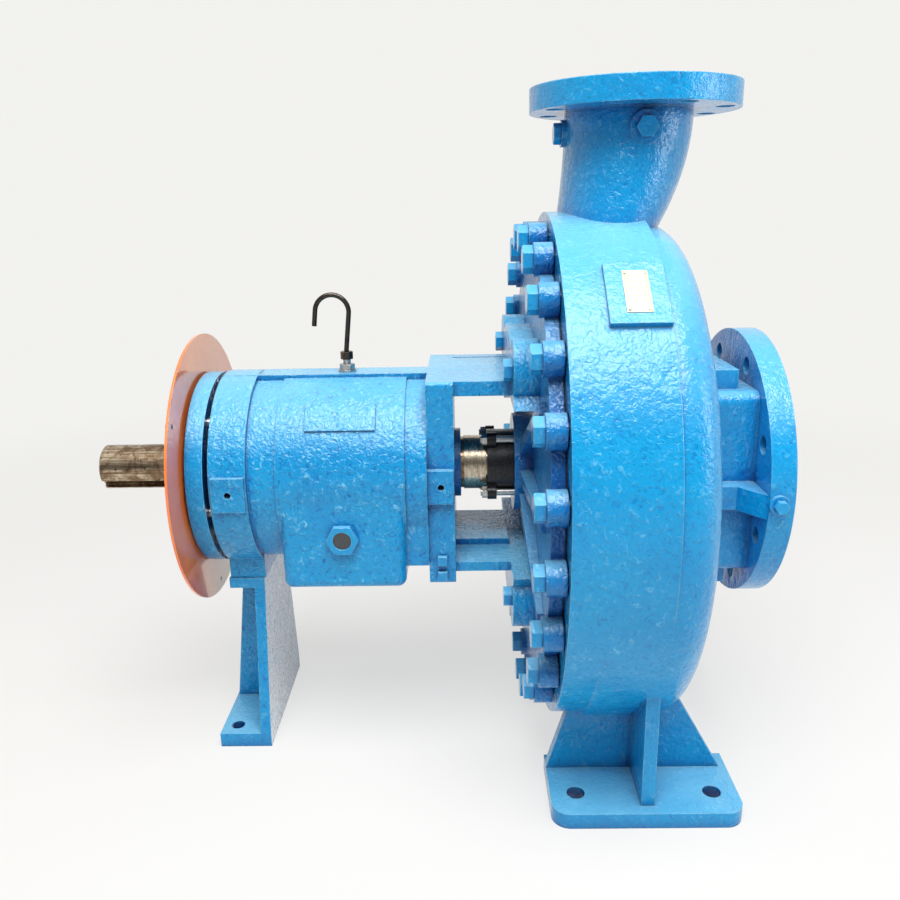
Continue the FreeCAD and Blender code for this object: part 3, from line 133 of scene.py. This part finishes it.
def bump(tree, height, distance, strength, under=None):
    node = addNode(tree, "Bump")
    node.inputs["Distance"].default_value = distance
    node.inputs["Strength"].default_value = strength
    tree.links.new(height, node.inputs["Height"])
    if under is not None:
        tree.links.new(under, node.inputs["Normal"])
    return node.outputs["Normal"]


def roundedEdges(tree, radius):
    node = addNode(tree, "Bevel")
    node.samples = 4
    node.inputs["Radius"].default_value = radius
    return node.outputs["Normal"]


def edgeMask(tree, rounded, low, high):
    shape = addNode(tree, "NewGeometry")
    dot = addNode(tree, "VectorMath")
    dot.operation = "DOT_PRODUCT"
    tree.links.new(rounded, dot.inputs[0])
    tree.links.new(shape.outputs["Normal"], dot.inputs[1])
    return spread(tree, dot.outputs["Value"], high, low)


def corners(tree, reach):
    node = addNode(tree, "AmbientOcclusion")
    node.samples = 4
    node.inputs["Distance"].default_value = reach
    return node.outputs["AO"]


# blue enamel, brushed thickly over rough castings; sizes and depths are in metres
enamel = {
    "blue": (0.004, 0.310, 0.630),
    # dark blue for random darker clouds and for painted shade
    "deepToneAndShade": (0.003, 0.080, 0.360),
    # pale cyan for painted highlights and painted top light, and for the pale patches on the foot's pale side
    "paleAndHighlight": (0.300, 0.720, 0.900),
    # near black for dark specks and for painted shade in creases
    "grimeAndShade": (0.003, 0.008, 0.045),
    "gloss": 0.45,
    "coatRoughness": 0.08,
    "shine": 0.24,
    "waveSize": 0.12,
    "lumpSize": 0.024,
    "skinSize": 0.0062,
    "pitShare": 0.40,  # size of a pit against that of the skin
    "drawnSize": 0.011,
    "drawnStretch": (1.0, 1.0, 0.20),
    "waveDepth": 0.0080,
    "lumpDepth": 0.0046,
    "drawnDepth": 0.0020,
    "skinDepth": 0.0024,
    "pitDepth": 0.0004,
    "waveBump": 0.35,
    "lumpBump": 0.55,
    "skinBump": 0.90,
    "pitBump": 0.35,
    "cloudShare": 0.22,
    "ridgeHighlightShare": 0.60,
    "furrowShadeShare": 0.85,
    "rimHighlightShare": 0.80,
    "shadeShare": 0.92,
    "creviceShadeShare": 0.85,
    "speckShare": 0.65,
    "topLight": 0.50,  # how far the surfaces that look up are painted lighter, a painted top light
    "topLightFrom": 0.35,
}


def enamelColour(tree, noises, shade, rounded, skin, shadeTint):
    wave, lump, peel, pits = noises
    clouds = spread(tree, wave, 0.35, 0.70, 0.0, enamel["cloudShare"])
    colour = blendColour(tree, clouds, enamel["blue"], enamel["deepToneAndShade"])
    # painted highlight on the crests of the paint lumps
    ridgeHighlight = combine(tree, "MULTIPLY", spread(tree, peel, 0.56, 0.72),
                     spread(tree, lump, 0.42, 0.62))
    ridgeHighlight = combine(tree, "MULTIPLY", ridgeHighlight, enamel["ridgeHighlightShare"] * skin)
    colour = blendColour(tree, ridgeHighlight, colour, enamel["paleAndHighlight"])
    # painted shade in the furrows between the paint lumps
    furrowShade = combine(tree, "MULTIPLY", spread(tree, peel, 0.44, 0.30),
                      spread(tree, lump, 0.60, 0.40))
    furrowShade = combine(tree, "MULTIPLY", furrowShade, enamel["furrowShadeShare"] * skin)
    colour = blendColour(tree, furrowShade, colour, enamel["deepToneAndShade"])
    # painted highlight along the rounded edges
    patchy = spread(tree, lump, 0.35, 0.60, 0.3, 1.0)
    rim = combine(tree, "MULTIPLY", edgeMask(tree, rounded, 0.78, 0.98), patchy)
    colour = blendColour(tree, combine(tree, "MULTIPLY", rim, enamel["rimHighlightShare"]), colour,
                         enamel["paleAndHighlight"])
    # painted shade: deep blue in corners and creases, stronger where the occlusion is closer
    dark = spread(tree, shade, 0.25, 0.85, enamel["shadeShare"], 0.0)
    colour = blendColour(tree, dark, colour, enamel["deepToneAndShade"])
    # painted shade: near black in the closest corners and creases, broken up in patches
    patchy = spread(tree, lump, 0.30, 0.55, 0.35, 1.0)
    creviceShade = combine(tree, "MULTIPLY", spread(tree, shade, 0.10, 0.60, 1.0, 0.0), patchy)
    colour = blendColour(tree, combine(tree, "MULTIPLY", creviceShade, enamel["creviceShadeShare"]), colour,
                         enamel["grimeAndShade"])
    specks = spread(tree, pits, 0.70, 0.76, 0.0, enamel["speckShare"])
    colour = blendColour(tree, specks, colour, enamel["grimeAndShade"])
    # painted shade: the whole part darkened towards deep blue
    if shadeTint:
        colour = blendColour(tree, shadeTint, colour, enamel["deepToneAndShade"])
    # painted top light: surfaces that look up are paler cyan, in patches
    shape = addNode(tree, "NewGeometry")
    axes = addNode(tree, "SeparateXYZ")
    tree.links.new(shape.outputs["Normal"], axes.inputs["Vector"])
    patchy = spread(tree, wave, 0.3, 0.6, 0.6, 1.0)
    upward = spread(tree, axes.outputs["Z"], enamel["topLightFrom"], 1.0)
    topLight = combine(tree, "MULTIPLY", upward, patchy)
    return blendColour(tree, combine(tree, "MULTIPLY", topLight, enamel["topLight"]), colour,
                       enamel["paleAndHighlight"])


def blueEnamel(name, skin=1.0, lumps=1.0, edge=0.0022, roughness=0.20, shadeTint=0.0, streaks=0.0,
               crevice=0.024):
    material, tree = newMaterial(name)
    shader = paintOutput(tree, roughness, coat=enamel["gloss"],
                         coatRoughness=enamel["coatRoughness"],
                         specular=enamel["shine"])
    where = objectSpace(tree)
    wave = noise(tree, where, enamel["waveSize"], 2.0)
    lump = noise(tree, where, enamel["lumpSize"], 4.0, 0.62)
    peel = noise(tree, where, enamel["skinSize"], 2.0, 0.5, 0.9)
    pits = noise(tree, where, enamel["skinSize"] * enamel["pitShare"], 1.0)
    rounded = roundedEdges(tree, edge)
    shade = corners(tree, crevice)
    colour = enamelColour(tree, (wave, lump, peel, pits), shade, rounded, skin, shadeTint)
    tree.links.new(colour, shader.inputs["Base Color"])
    uneven = combine(tree, "ADD", spread(tree, lump, 0.3, 0.7, -0.06, 0.10), roughness)
    tree.links.new(uneven, shader.inputs["Roughness"])
    surface = bump(tree, wave, enamel["waveDepth"], enamel["waveBump"] * lumps, rounded)
    surface = bump(tree, lump, enamel["lumpDepth"], enamel["lumpBump"] * lumps, surface)
    if streaks:
        drawn = noise(tree, objectSpace(tree, enamel["drawnStretch"]), enamel["drawnSize"], 3.0,
                      0.6, 0.5)
        surface = bump(tree, drawn, enamel["drawnDepth"], streaks, surface)
    surface = bump(tree, peel, enamel["skinDepth"], enamel["skinBump"] * skin, surface)
    surface = bump(tree, pits, enamel["pitDepth"], enamel["pitBump"], surface)
    tree.links.new(surface, shader.inputs["Normal"])
    tree.links.new(surface, shader.inputs["Coat Normal"])
    return material


# bare machined metals
metal = {
    "stain": (0.02, 0.016, 0.012),
    "filmShare": 0.85,
    "cloudSize": 0.018,
    "spotSize": 0.007,
    "edge": 0.0006,
    "turnedDepth": 0.0003,
    "turnedBump": 0.35,
    "spotDepth": 0.0006,
    "spotBump": 0.20,
}


def machinedMetal(name, light, dark, roughness, streakAlong=(0.05, 1, 1), stain=0.35, film=None):
    material, tree = newMaterial(name)
    shader = paintOutput(tree, roughness, metallic=1.0)
    where = objectSpace(tree)
    # streaks of light and dark base colour; on the shaft they run along its length and are painted reflection
    turned = noise(tree, objectSpace(tree, streakAlong), 0.0016, 3.0, 0.6)
    clouds = noise(tree, where, metal["cloudSize"], 4.0, 0.62, 1.2)
    colour = blendColour(tree, spread(tree, turned, 0.3, 0.7), light, dark)
    if film:
        colour = blendColour(tree, spread(tree, clouds, 0.40, 0.60, 0.0, metal["filmShare"]),
                             colour, film)
    spots = noise(tree, where, metal["spotSize"], 4.0, 0.7)
    colour = blendColour(tree, spread(tree, spots, 0.56, 0.66, 0.0, stain), colour, metal["stain"])
    tree.links.new(colour, shader.inputs["Base Color"])
    rough = combine(tree, "ADD", spread(tree, clouds, 0.3, 0.7, -0.05, 0.14), roughness)
    tree.links.new(rough, shader.inputs["Roughness"])
    rounded = roundedEdges(tree, metal["edge"])
    surface = bump(tree, turned, metal["turnedDepth"], metal["turnedBump"], rounded)
    surface = bump(tree, spots, metal["spotDepth"], metal["spotBump"], surface)
    tree.links.new(surface, shader.inputs["Normal"])
    return material


# iron left as cast
castIron = {
    "grainSize": 0.004,
    "patchSize": 0.03,
    "patchShare": 0.5,
    "uneven": 0.12,
    "edge": 0.0008,
    "grainDepth": 0.0010,
    "grainBump": 0.45,
}


def roughIron(name, light, dark, roughness, metallic):
    material, tree = newMaterial(name)
    shader = paintOutput(tree, roughness, metallic=metallic)
    where = objectSpace(tree)
    grain = noise(tree, where, castIron["grainSize"], 4.0, 0.65)
    patches = noise(tree, where, castIron["patchSize"], 3.0)
    colour = blendColour(tree, spread(tree, grain, 0.35, 0.65), light, dark)
    colour = blendColour(tree, spread(tree, patches, 0.5, 0.7, 0.0, castIron["patchShare"]),
                         colour, dark)
    tree.links.new(colour, shader.inputs["Base Color"])
    rough = spread(tree, patches, 0.3, 0.7, roughness - castIron["uneven"],
                   roughness + castIron["uneven"])
    tree.links.new(rough, shader.inputs["Roughness"])
    rounded = roundedEdges(tree, castIron["edge"])
    surface = bump(tree, grain, castIron["grainDepth"], castIron["grainBump"], rounded)
    tree.links.new(surface, shader.inputs["Normal"])
    return material


# guard plate: thin gloss orange sheet with a ragged pale patch low on one side
guardPaint = {
    "orange": (0.95, 0.180, 0.030),
    "light": (0.95, 0.260, 0.060),
    "patchColour": (0.80, 0.72, 0.60),
    "patchBelow": 0.128,  # metres under the shaft axis
    "patchBeyond": 0.030,
    "patchStrength": 0.85,
    "raggedReach": 0.05,
    "scuff": (0.35, 0.04, 0.015),
    "scuffShare": 0.35,
    "cloudSize": 0.06,
    "raggedSize": 0.012,
    "fineSize": 0.0022,
    "edge": 0.0006,
}


def orangeGuard():
    material, tree = newMaterial("orangeGuardSheet")
    shader = paintOutput(tree, 0.16, coat=1.0, coatRoughness=0.05)
    place = addNode(tree, "TexCoord")
    axes = addNode(tree, "SeparateXYZ")
    tree.links.new(place.outputs["Object"], axes.inputs["Vector"])
    where = place.outputs["Object"]
    clouds = noise(tree, where, guardPaint["cloudSize"], 3.0)
    ragged = noise(tree, where, guardPaint["raggedSize"], 4.0, 0.7, 0.5)
    fine = noise(tree, where, guardPaint["fineSize"], 3.0, 0.6)
    colour = blendColour(tree, spread(tree, clouds, 0.35, 0.65), guardPaint["orange"],
                         guardPaint["light"])
    wander = combine(tree, "MULTIPLY", combine(tree, "SUBTRACT", ragged, 0.5),
                     guardPaint["raggedReach"])
    across = combine(tree, "ADD", axes.outputs["Y"], wander)
    lowEdge = -guardPaint["patchBelow"]
    farEdge = guardPaint["patchBeyond"]
    low = spread(tree, axes.outputs["Z"], lowEdge + 0.002, lowEdge - 0.002)
    far = spread(tree, across, farEdge, farEdge + 0.004)
    patchMask = combine(tree, "MULTIPLY", combine(tree, "MULTIPLY", low, far),
                      guardPaint["patchStrength"])
    colour = blendColour(tree, patchMask, colour, guardPaint["patchColour"])
    scuffs = spread(tree, fine, 0.66, 0.72, 0.0, guardPaint["scuffShare"])
    colour = blendColour(tree, scuffs, colour, guardPaint["scuff"])
    tree.links.new(colour, shader.inputs["Base Color"])
    tree.links.new(spread(tree, fine, 0.3, 0.7, 0.10, 0.22), shader.inputs["Roughness"])
    surface = bump(tree, clouds, 0.004, 0.05, roundedEdges(tree, guardPaint["edge"]))
    surface = bump(tree, fine, 0.0003, 0.10, surface)
    tree.links.new(surface, shader.inputs["Normal"])
    return material


# drive end foot: the faces that look towards the pump are pale grey with dark specks and light blue patches
footPaint = {
    "paleFace": (0.80, 0.82, 0.85),
    "facing": 0.92,  # how squarely a face looks towards the pump
    "speckSize": 0.005,
    "speckShare": 0.85,
    "patchSize": 0.05,
    "patchShare": 0.35,
}


def frameFootEnamel():
    material = blueEnamel("footEnamelPaleSide", skin=0.8, lumps=1.0)
    tree = material.node_tree
    shader = next(n for n in tree.nodes if n.type == "BSDF_PRINCIPLED")
    painted = shader.inputs["Base Color"].links[0].from_socket
    shape = addNode(tree, "NewGeometry")
    axes = addNode(tree, "SeparateXYZ")
    tree.links.new(shape.outputs["True Normal"], axes.inputs["Vector"])
    where = objectSpace(tree)
    facing = spread(tree, axes.outputs["X"], footPaint["facing"], footPaint["facing"] + 0.05)
    specks = spread(tree, noise(tree, where, footPaint["speckSize"], 4.0, 0.7), 0.56, 0.62)
    patches = noise(tree, where, footPaint["patchSize"], 4.0, 0.6)
    patches = spread(tree, patches, 0.50, 0.66, 0.0, footPaint["patchShare"])
    paleSide = blendColour(tree, patches, footPaint["paleFace"], enamel["paleAndHighlight"])
    paleSide = blendColour(tree, combine(tree, "MULTIPLY", specks, footPaint["speckShare"]), paleSide,
                       enamel["grimeAndShade"])
    tree.links.new(blendColour(tree, facing, painted, paleSide), shader.inputs["Base Color"])
    return material


# name plate left blank: a pale sheet with an embossed border and empty ruled rows
plateFinish = {
    "sheet": (0.56, 0.50, 0.34),
    "rule": (0.36, 0.30, 0.18),
    "rows": 9.0,
    "dentSize": 0.006,
    "dentShare": 0.3,
    "markShare": 0.55,
}


def blankPlate():
    material, tree = newMaterial("blankNamePlate")
    shader = paintOutput(tree, 0.45, metallic=0.25)
    place = addNode(tree, "TexCoord")
    axes = addNode(tree, "SeparateXYZ")
    tree.links.new(place.outputs["Generated"], axes.inputs["Vector"])
    dents = noise(tree, place.outputs["Object"], plateFinish["dentSize"], 3.0)
    rows = combine(tree, "FRACT", combine(tree, "MULTIPLY", axes.outputs["Z"], plateFinish["rows"]))
    fromLine = combine(tree, "ABSOLUTE", combine(tree, "SUBTRACT", rows, 0.5))
    line = spread(tree, fromLine, 0.05, 0.11, 1.0, 0.0)
    edgeAcross = combine(tree, "ABSOLUTE", combine(tree, "SUBTRACT", axes.outputs["X"], 0.5))
    edgeUp = combine(tree, "ABSOLUTE", combine(tree, "SUBTRACT", axes.outputs["Z"], 0.5))
    inside = combine(tree, "MULTIPLY", spread(tree, edgeAcross, 0.36, 0.34),
                     spread(tree, edgeUp, 0.42, 0.40))
    outerEdge = spread(tree, edgeAcross, 0.43, 0.45)
    border = combine(tree, "SUBTRACT", spread(tree, edgeAcross, 0.38, 0.40), outerEdge)
    marks = combine(tree, "MAXIMUM", combine(tree, "MULTIPLY", line, inside), border)
    inked = combine(tree, "MULTIPLY", marks, plateFinish["markShare"])
    colour = blendColour(tree, inked, plateFinish["sheet"], plateFinish["rule"])
    dull = spread(tree, dents, 0.5, 0.7, 0.0, plateFinish["dentShare"])
    tree.links.new(blendColour(tree, dull, colour, plateFinish["rule"]),
                   shader.inputs["Base Color"])
    tree.links.new(spread(tree, dents, 0.3, 0.7, 0.24, 0.42), shader.inputs["Roughness"])
    surface = bump(tree, marks, 0.0003, 0.4)
    surface = bump(tree, dents, 0.0006, 0.3, surface)
    tree.links.new(surface, shader.inputs["Normal"])
    return material


# sight glass: clear glass over dark oil
oilSight = {
    "oil": (0.004, 0.006, 0.010),
    "smear": (0.02, 0.03, 0.045),
    "smearSize": 0.004,
}


def darkOilGlass():
    material, tree = newMaterial("darkOilGlass")
    shader = paintOutput(tree, 0.06, coat=1.0, coatRoughness=0.02)
    smears = noise(tree, objectSpace(tree), oilSight["smearSize"], 3.0)
    colour = blendColour(tree, spread(tree, smears, 0.4, 0.7), oilSight["oil"], oilSight["smear"])
    tree.links.new(colour, shader.inputs["Base Color"])
    tree.links.new(spread(tree, smears, 0.3, 0.7, 0.04, 0.14), shader.inputs["Roughness"])
    tree.links.new(bump(tree, smears, 0.0004, 0.15), shader.inputs["Normal"])
    return material


# gasket: dark pressed fibre
gasket = {
    "dark": (0.03, 0.03, 0.034),
    "light": (0.10, 0.10, 0.11),
    "fibreSize": 0.002,
}


def gasketSheet():
    material, tree = newMaterial("gasketSheet")
    shader = paintOutput(tree, 0.8)
    fibre = noise(tree, objectSpace(tree), gasket["fibreSize"], 3.0)
    colour = blendColour(tree, spread(tree, fibre, 0.4, 0.7), gasket["dark"], gasket["light"])
    tree.links.new(colour, shader.inputs["Base Color"])
    tree.links.new(spread(tree, fibre, 0.3, 0.7, 0.7, 0.9), shader.inputs["Roughness"])
    tree.links.new(bump(tree, fibre, 0.0004, 0.4), shader.inputs["Normal"])
    return material


castingBlue = blueEnamel("castingEnamel", skin=0.55, lumps=0.9, streaks=0.45)
frameBlue = blueEnamel("frameEnamel", skin=1.0, lumps=0.8)
# seal cover and inboard labyrinth: the enamel darkened all over as painted shade, with wider crevice shade
coverBlueShaded = blueEnamel("coverEnamelShaded", skin=0.9, lumps=1.2, shadeTint=0.45, crevice=0.05)
boltBlue = blueEnamel("boltEnamel", skin=0.35, lumps=0.4, edge=0.0016, roughness=0.18,
                      crevice=0.010)
housingBlue = blueEnamel("housingEnamel", skin=0.6, lumps=0.6)
footBlue = frameFootEnamel()
orangeSheet = orangeGuard()
# shaft: light and dark streaks along its length, painted reflection
shaftSteel = machinedMetal("shaftSteel", (0.80, 0.66, 0.48), (0.16, 0.10, 0.055), 0.16,
                           (0.03, 1, 1), 0.75,
                           film=(0.16, 0.09, 0.045))
collarMetal = machinedMetal("collarMetal", (0.66, 0.58, 0.46), (0.36, 0.29, 0.20), 0.22,
                            (1, 0.1, 0.1), 0.5)
zincSteel = machinedMetal("zincSteel", (0.62, 0.62, 0.60), (0.36, 0.36, 0.35), 0.30, (1, 1, 1), 0.4)
groundSteel = machinedMetal("groundSteel", (0.70, 0.70, 0.69), (0.50, 0.50, 0.50), 0.18,
                            (1, 0.1, 0.1), 0.1)
blackTube = machinedMetal("blackTube", (0.10, 0.085, 0.070), (0.030, 0.026, 0.024), 0.30,
                          (1, 1, 1), 0.3)
glandIron = roughIron("glandIron", (0.020, 0.020, 0.022), (0.006, 0.006, 0.007), 0.34, 0.2)
waterIron = roughIron("waterIron", (0.24, 0.22, 0.20), (0.10, 0.085, 0.075), 0.6, 0.5)
oilGlass = darkOilGlass()
sealSheet = gasketSheet()
print("finishes mixed")

finishes = {
    "volute_casing": castingBlue, "suction_sideplate": waterIron, "casing_gasket": sealSheet,
    "seal_chamber_cover": coverBlueShaded, "cover_bolts": boltBlue, "adapter_bolts": boltBlue,
    "bearing_frame": frameBlue, "frame_foot": footBlue, "foot_bolts": boltBlue, "frame_plugs": boltBlue,
    "discharge_front_plug": boltBlue, "discharge_side_plug": boltBlue, "suction_gauge_plug": boltBlue,
    "nameplate": blankPlate(), "sight_glass_body": boltBlue, "sight_glass_lens": oilGlass,
    "breather_washer": zincSteel, "breather_fitting": zincSteel, "breather_nut": blackTube,
    "breather_tube": blackTube, "inboard_labyrinth": coverBlueShaded, "inboard_bearing_outer": groundSteel,
    "inboard_rollers": groundSteel, "clamp_screws": zincSteel, "seal_gland": glandIron,
    "gland_studs": zincSteel, "gland_nuts": zincSteel, "bearing_housing": housingBlue,
    "outboard_end_cover": housingBlue, "outboard_bearing_outer": groundSteel, "outboard_rollers": groundSteel,
    "guard_plate": orangeSheet, "guard_rim_screws": blackTube, "guard_screws": blackTube,
    "adjusting_screws": zincSteel, "shaft": shaftSteel, "inboard_bearing_inner": groundSteel,
    "outboard_bearing_inner": groundSteel, "bearing_locknut": groundSteel, "seal_sleeve": collarMetal,
    "seal_collar": collarMetal, "collar_screws": zincSteel, "impeller": waterIron, "impeller_nut": groundSteel,
}
for name, node in nodes.items():
    node.data.materials.clear()
    node.data.materials.append(finishes[name])
print("finishes on", len(finishes), "nodes")

# rivets of the nameplate, low domes whose skirts are sunk a little into the plate
plateRivets = {
    "alongShaft": 0.0105,
    "alongBand": 0.0255,
    "radius": 0.0017,
    "height": 0.0009,
    "skirt": 1.12,
    "sunk": 0.0003,
    "lip": 0.0001,
    "rise": 0.0002,
    "faceOut": 0.0005,  # from the middle of the plate to its face
    "steps": 5,
    "segments": 20,
}


def domeProfile():
    r, h, steps = (plateRivets[k] for k in ("radius", "height", "steps"))
    skirt = r * plateRivets["skirt"]
    arc = []
    for i in range(steps):
        turn = math.pi / 2 * i / steps
        arc.append((r * math.cos(turn), plateRivets["rise"] + h * math.sin(turn)))
    return [(skirt, -plateRivets["sunk"]), (skirt, plateRivets["lip"])] + arc


def addRivet(shape, base, across, along, outward):
    segments = plateRivets["segments"]
    rings = []
    for radius, height in domeProfile():
        ring = []
        for i in range(segments):
            turn = 2 * math.pi * i / segments
            spoke = across * math.cos(turn) + along * math.sin(turn)
            ring.append(shape.verts.new(base + spoke * radius + outward * height))
        rings.append(ring)
    for lower, upper in zip(rings, rings[1:]):
        for i in range(segments):
            j = (i + 1) % segments
            shape.faces.new((lower[i], lower[j], upper[j], upper[i])).smooth = True
    shape.faces.new(rings[-1])
    shape.faces.new(reversed(rings[0]))


def makeRivets():
    low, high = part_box("nameplate")
    centre = (Vector(low) + Vector(high)) / 2
    outward = Vector((0, centre.y, centre.z)).normalized()
    across = Vector((1, 0, 0))
    along = across.cross(outward)
    face = centre + outward * plateRivets["faceOut"]
    shape = bmesh.new()
    for side in (-1, 1):
        for end in (-1, 1):
            base = face + across * (side * plateRivets["alongShaft"])
            base = base + along * (end * plateRivets["alongBand"])
            addRivet(shape, base, across, along, outward)
    bmesh.ops.recalc_face_normals(shape, faces=shape.faces)
    mesh = bpy.data.meshes.new("nameplateRivets")
    shape.to_mesh(mesh)
    shape.free()
    mesh.materials.append(zincSteel)
    piece = bpy.data.objects.new("nameplateRivets", mesh)
    bpy.context.scene.collection.objects.link(piece)
    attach(piece, "pump_body")


makeRivets()
print("rivets set")

# studio: a pale floor that fades into the background colour
studio = {
    "background": (0.890, 0.885, 0.865),
    "floor": (0.90, 0.885, 0.87),
    "shadowShare": 0.28,  # how much of the floor seen is lit floor, the rest plain background
    "fadeFrom": 0.8,
    "fadeTo": 2.2,
    "floorRadius": 30.0,
    "worldLight": 0.21,
    "roomFront": 0.25,  # what gloss sees low on the open side of the studio
    "keyPower": 90.0,
    "sidePower": 20.0,
    "roomSide": (-0.55, 0.10),  # where that dim side ends, going back
    "roomTop": (0.35, 0.80),  # and going up
    "sidePower": 20.0,
    "keyPlace": (0.1, -0.95, 2.1),
    "keySize": (1.9, 1.6),
    "sidePlace": (2.6, -0.8, 0.7),
    "sideSize": (1.1, 1.1),
}


def seenDirectly(tree):
    path = addNode(tree, "LightPath")
    seen = combine(tree, "MAXIMUM", path.outputs["Is Camera Ray"], path.outputs["Is Glossy Ray"])
    return combine(tree, "MAXIMUM", seen, path.outputs["Is Transmission Ray"])


def makeFloor(level):
    mesh = bpy.data.meshes.new("studioFloor")
    shape = bmesh.new()
    bmesh.ops.create_circle(shape, cap_ends=True, segments=96, radius=studio["floorRadius"])
    shape.to_mesh(mesh)
    shape.free()
    floor = bpy.data.objects.new("studioFloor", mesh)
    bpy.context.scene.collection.objects.link(floor)
    centre = (cadBox[0] + cadBox[1]) / 2
    floor.location = (centre.x, centre.y, level)
    material, tree = newMaterial("paleFloor")
    matt = addNode(tree, "BsdfDiffuse")
    matt.inputs["Color"].default_value = (*studio["floor"], 1)
    glow = addNode(tree, "Emission")
    glow.inputs["Color"].default_value = (*studio["background"], 1)
    place = addNode(tree, "TexCoord")
    length = addNode(tree, "VectorMath")
    length.operation = "LENGTH"
    tree.links.new(place.outputs["Object"], length.inputs[0])
    away = spread(tree, length.outputs["Value"], studio["fadeFrom"], studio["fadeTo"],
                  1.0 - studio["shadowShare"])
    mix = addNode(tree, "MixShader")
    tree.links.new(combine(tree, "MULTIPLY", away, seenDirectly(tree)), mix.inputs[0])
    tree.links.new(matt.outputs["BSDF"], mix.inputs[1])
    tree.links.new(glow.outputs["Emission"], mix.inputs[2])
    end = addNode(tree, "OutputMaterial")
    tree.links.new(mix.outputs["Shader"], end.inputs["Surface"])
    mesh.materials.append(material)


def makeWorld():
    world = bpy.data.worlds.new("studioAir")
    bpy.context.scene.world = world
    world.use_nodes = True
    tree = world.node_tree
    tree.nodes.clear()
    light = addNode(tree, "Background")
    light.inputs["Color"].default_value = (1.0, 1.0, 1.0, 1)
    light.inputs["Strength"].default_value = studio["worldLight"]
    seen = addNode(tree, "Background")
    place = addNode(tree, "TexCoord")
    axes = addNode(tree, "SeparateXYZ")
    tree.links.new(place.outputs["Generated"], axes.inputs["Vector"])
    behind = spread(tree, axes.outputs["Y"], *studio["roomSide"])
    above = spread(tree, axes.outputs["Z"], *studio["roomTop"])
    path = addNode(tree, "LightPath")
    plain = combine(tree, "MAXIMUM", combine(tree, "MAXIMUM", behind, above),
                    path.outputs["Is Camera Ray"])
    dim = tuple(c * studio["roomFront"] for c in studio["background"])
    tree.links.new(blendColour(tree, plain, dim, studio["background"]), seen.inputs["Color"])
    mix = addNode(tree, "MixShader")
    end = addNode(tree, "OutputWorld")
    tree.links.new(seenDirectly(tree), mix.inputs[0])
    tree.links.new(light.outputs["Background"], mix.inputs[1])
    tree.links.new(seen.outputs["Background"], mix.inputs[2])
    tree.links.new(mix.outputs["Shader"], end.inputs["Surface"])


def softLamp(name, place, aim, size, power):
    lamp = bpy.data.lights.new(name, "AREA")
    lamp.shape = "RECTANGLE"
    lamp.size, lamp.size_y = size
    lamp.energy = power
    holder = bpy.data.objects.new(name, lamp)
    bpy.context.scene.collection.objects.link(holder)
    holder.location = place
    holder.rotation_mode = "QUATERNION"
    holder.rotation_quaternion = (Vector(aim) - Vector(place)).to_track_quat("-Z", "Y")


middle = (cadBox[0] + cadBox[1]) / 2
makeFloor(cadBox[0].z)
makeWorld()
softLamp("keyLamp", middle + Vector(studio["keyPlace"]), middle, studio["keySize"],
         studio["keyPower"])
softLamp("sideLamp", middle + Vector(studio["sidePlace"]), middle, studio["sideSize"],
         studio["sidePower"])
print("studio lit")

# camera before the near side, above the shaft and tipped down
cameraStand = {
    "place": (-0.3878, -1.1132, 0.3374),
    "turn": -0.86,
    "tip": 16.06,
    "lean": 1.04,
    "lens": 33.94,
    "sensor": 36.0,
    "clip": (0.05, 100.0),
}


def makeCamera():
    turn, tip, lean = (math.radians(cameraStand[k]) for k in ("turn", "tip", "lean"))
    ahead = Vector((math.sin(turn) * math.cos(tip), math.cos(turn) * math.cos(tip), -math.sin(tip)))
    side = Vector((math.cos(turn), -math.sin(turn), 0))
    down = ahead.cross(side)
    right = side * math.cos(lean) + down * math.sin(lean)
    up = side * math.sin(lean) - down * math.cos(lean)
    data = bpy.data.cameras.new("standCamera")
    data.lens = cameraStand["lens"]
    data.sensor_width = cameraStand["sensor"]
    data.clip_start, data.clip_end = cameraStand["clip"]
    camera = bpy.data.objects.new("standCamera", data)
    bpy.context.scene.collection.objects.link(camera)
    turned = Matrix((right, up, -ahead)).transposed().to_4x4()
    camera.matrix_world = Matrix.Translation(Vector(cameraStand["place"])) @ turned
    bpy.context.scene.camera = camera


makeCamera()
bpy.context.scene.view_settings.view_transform = "Standard"
print("camera set")
